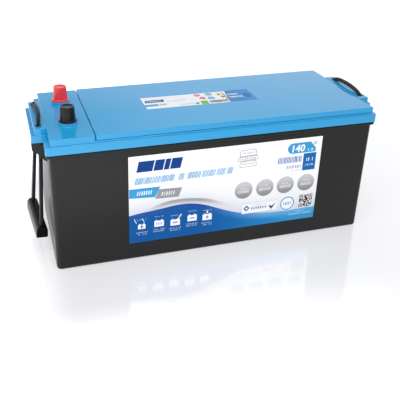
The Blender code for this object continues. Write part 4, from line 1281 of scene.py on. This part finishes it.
# A white badge strip with a perforated edge, a diamond and a tick.
front.shape("white", slant_box((39, 96.5), (49.2, 66.2)))
for z in (49.2, 66.2):
    holes = strokes(24, 2.42, 1.1, 0.7, 60, variety=0.0)
    holes.transform(Matrix.Translation((40, z, 0)))
    front.mesh("grey", holes, 1)
front.shape("blue", disc((46, 58.2), 5.2, 4), 1)
front.shape("white", disc((46, 58.2), 2.2, 4), 2)
type_row(front, "navy", (53, 79), 57.2, 4.6, 61, pitch=2.9, layer=1, weight=0.5)
type_row(front, "grey", (55, 78), 62.8, 1.8, 62, pitch=1.6, layer=1, weight=0.4)
front.shape("navy", [(82.4, 57.4), (87.0, 51.6), (88.6, 53.4), (94.6, 62.4), (87.4, 56.6), (84.2, 58.8)], 1)
# The round badge: a white disc with a broken blue ring.
front.shape("white", disc((113.5, 57.4), 12.6, 36))
for piece in band(disc((113.5, 57.4), 11.8, 36), disc((113.5, 57.4), 10.0, 36)):
    front.shape("sky", piece, 1)
type_row(front, "blue", (106.5, 120.5), 57.2, 4.6, 63, pitch=2.6, layer=1, weight=0.5)
# The square code: rows of square cells, some left out, with the three corner marks of such codes.
front.shape("white", slant_box((132.6, 156.2), (46.2, 70.2)))
cells, cell = 17, 1.3
for row in range(cells):
    line = strokes(cells, cell, cell, cell, 230 + row, left_out=0.4, variety=0.0)
    line.transform(Matrix.Translation((134.0, 47.8 + row * cell, 0)))
    front.mesh("black", line, 1)
for corner in ((136.6, 50.4), (136.6, 66.0), (152.2, 66.0)):
    for layer, (ink, half) in enumerate((("white", 3.9), ("black", 3.2), ("white", 2.0), ("black", 1.1))):
        front.shape(ink, slant_box(*[(middle - half, middle + half) for middle in corner]), 2 + layer)
type_row(front, "white", (118, 158.5), 36.5, 2.4, 64, pitch=2.0, weight=0.34)
type_row(front, "white", (129, 146), 40.5, 1.8, 65, pitch=2.0, weight=0.34)

# %% Pictograms
# White battery shapes, each with a small mark, and two rows of fine type under and one over them.
for number, (x, z) in enumerate(((-116.5, 52.0), (-90.5, 53.5), (-66, 51.5), (-40, 55.0), (-16.5, 53.0))):
    half = 5.6 if number == 0 else 7.2
    high = 3.6 if number == 0 else 5.0
    front.shape("white", slant_box((x - half, x + half), (z - high, z + high)))
    for side in (x - 0.55 * half, x + 0.55 * half):
        front.shape("white", slant_box((side - 1.3, side + 1.3), (z + high, z + high + 1.4)))
    if number in (0, 4):
        front.shape("blue", slant_box((x - 2.4, x + 2.4), (z - 0.7, z + 0.7)), 1)
        front.shape("blue", slant_box((x - 0.7, x + 0.7), (z - 2.4, z + 2.4)), 2)
    elif number == 1:
        type_row(front, "blue", (x - 5, x + 5), z, 4.0, 70, pitch=2.5, layer=1, weight=0.5)
    else:
        front.shape("blue", slant_box((x - 3.6, x + 3.6), (z - 0.7, z + 0.9), 0.3), 1)
    type_row(front, "white", (x - 7, x + 7), z + 12.0, 1.3, 72 + number, pitch=2.0, weight=0.34)
    type_row(front, "white", (x - 9, x + 9), z - 9.5, 1.8, 80 + number, pitch=1.7, weight=0.34)
    type_row(front, "white", (x - 8 - number % 2, x + 8), z - 12.8, 1.8, 90 + number, pitch=1.7, weight=0.34)
front.shape("white", [(-128.0, 66.0), (-127.0, 66.0), (-123.8, 58.4), (-124.8, 58.4)])
front.shape("white", [(-116.5, 66.0), (-115.5, 66.0), (-112.0, 58.8), (-113.0, 58.8)])
front.shape("white", [(-62, 58.0), (-60.6, 57.4), (-56.0, 64.2), (-57.6, 64.8)])
front.shape("white", [(-18.0, 60.0), (-15.0, 60.0), (-16.5, 66.0)])
front.done("front_label_print", "root", "front_label")

# %% Top label print
Z_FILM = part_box("top_label")[1][2]


def top_place(across, up, out):
    """A point of the artwork on the top label's face, which lies level."""
    return Vector((across, up, Z_FILM + out))


top = Print(top_place)
top.shape("navy", slant_box((-86, -57), (5.5, 15.5), 0.2))
top.shape("white", slant_box((-83, -60), (9.8, 11.2), 0.2), 1)
top.shape("sky", slant_box((-89, -69), (-9.0, -1.6), 0.1))
top.shape("pale", slant_box((-67.5, -56), (-8.0, -2.0), 0.1))
type_row(top, "sky", (-52, -20), 6.2, 3.6, 121, pitch=2.4, weight=0.45)
type_row(top, "black", (-37, -15), -11.5, 4.0, 122, pitch=3.0, weight=0.34)
top.shape("black", slant_box((-12.5, -7.5), (-14.5, -9.5)))
for centre in ((-1.0, 20.0), (4.0, 7.0)):
    top.shape("red", disc(centre, 4.8, 24))
    top.shape("white", slant_box((centre[0] - 2.6, centre[0] + 2.6), (centre[1] - 0.8, centre[1] + 0.8)), 1)
top.shape("green", slant_box((-4.5, 6.5), (-18.0, -4.5), 0.05))
for centre in ((17.5, 20.5), (17.0, 4.5)):
    top.shape("sky", disc(centre, 5.6, 28))
    type_row(top, "white", (centre[0] - 3.5, centre[0] + 3.5), centre[1], 2.6, 123, pitch=2.2, layer=1)
for centre in ((33.5, 17.0), (36.5, 6.0)):
    top.shape("yellow", disc(centre, 6.4, 3))
    top.shape("black", disc(centre, 3.0, 3), 1)
type_row(top, "black", (9, 38), -10.5, 9.0, 124, pitch=4.4, weight=0.74)
top.shape("grey", slant_box((39.2, 41.6), (-19.5, 22.5)))
type_row(top, "white", (46, 66), 12.5, 6.0, 125, pitch=3.2)
type_row(top, "white", (45, 68), 1.0, 6.0, 126, pitch=3.2)
top.shape("blue", [(75, -9), (82, 4), (75, 16), (68, 3)])
top.done("top_label_print", "root", "top_label")
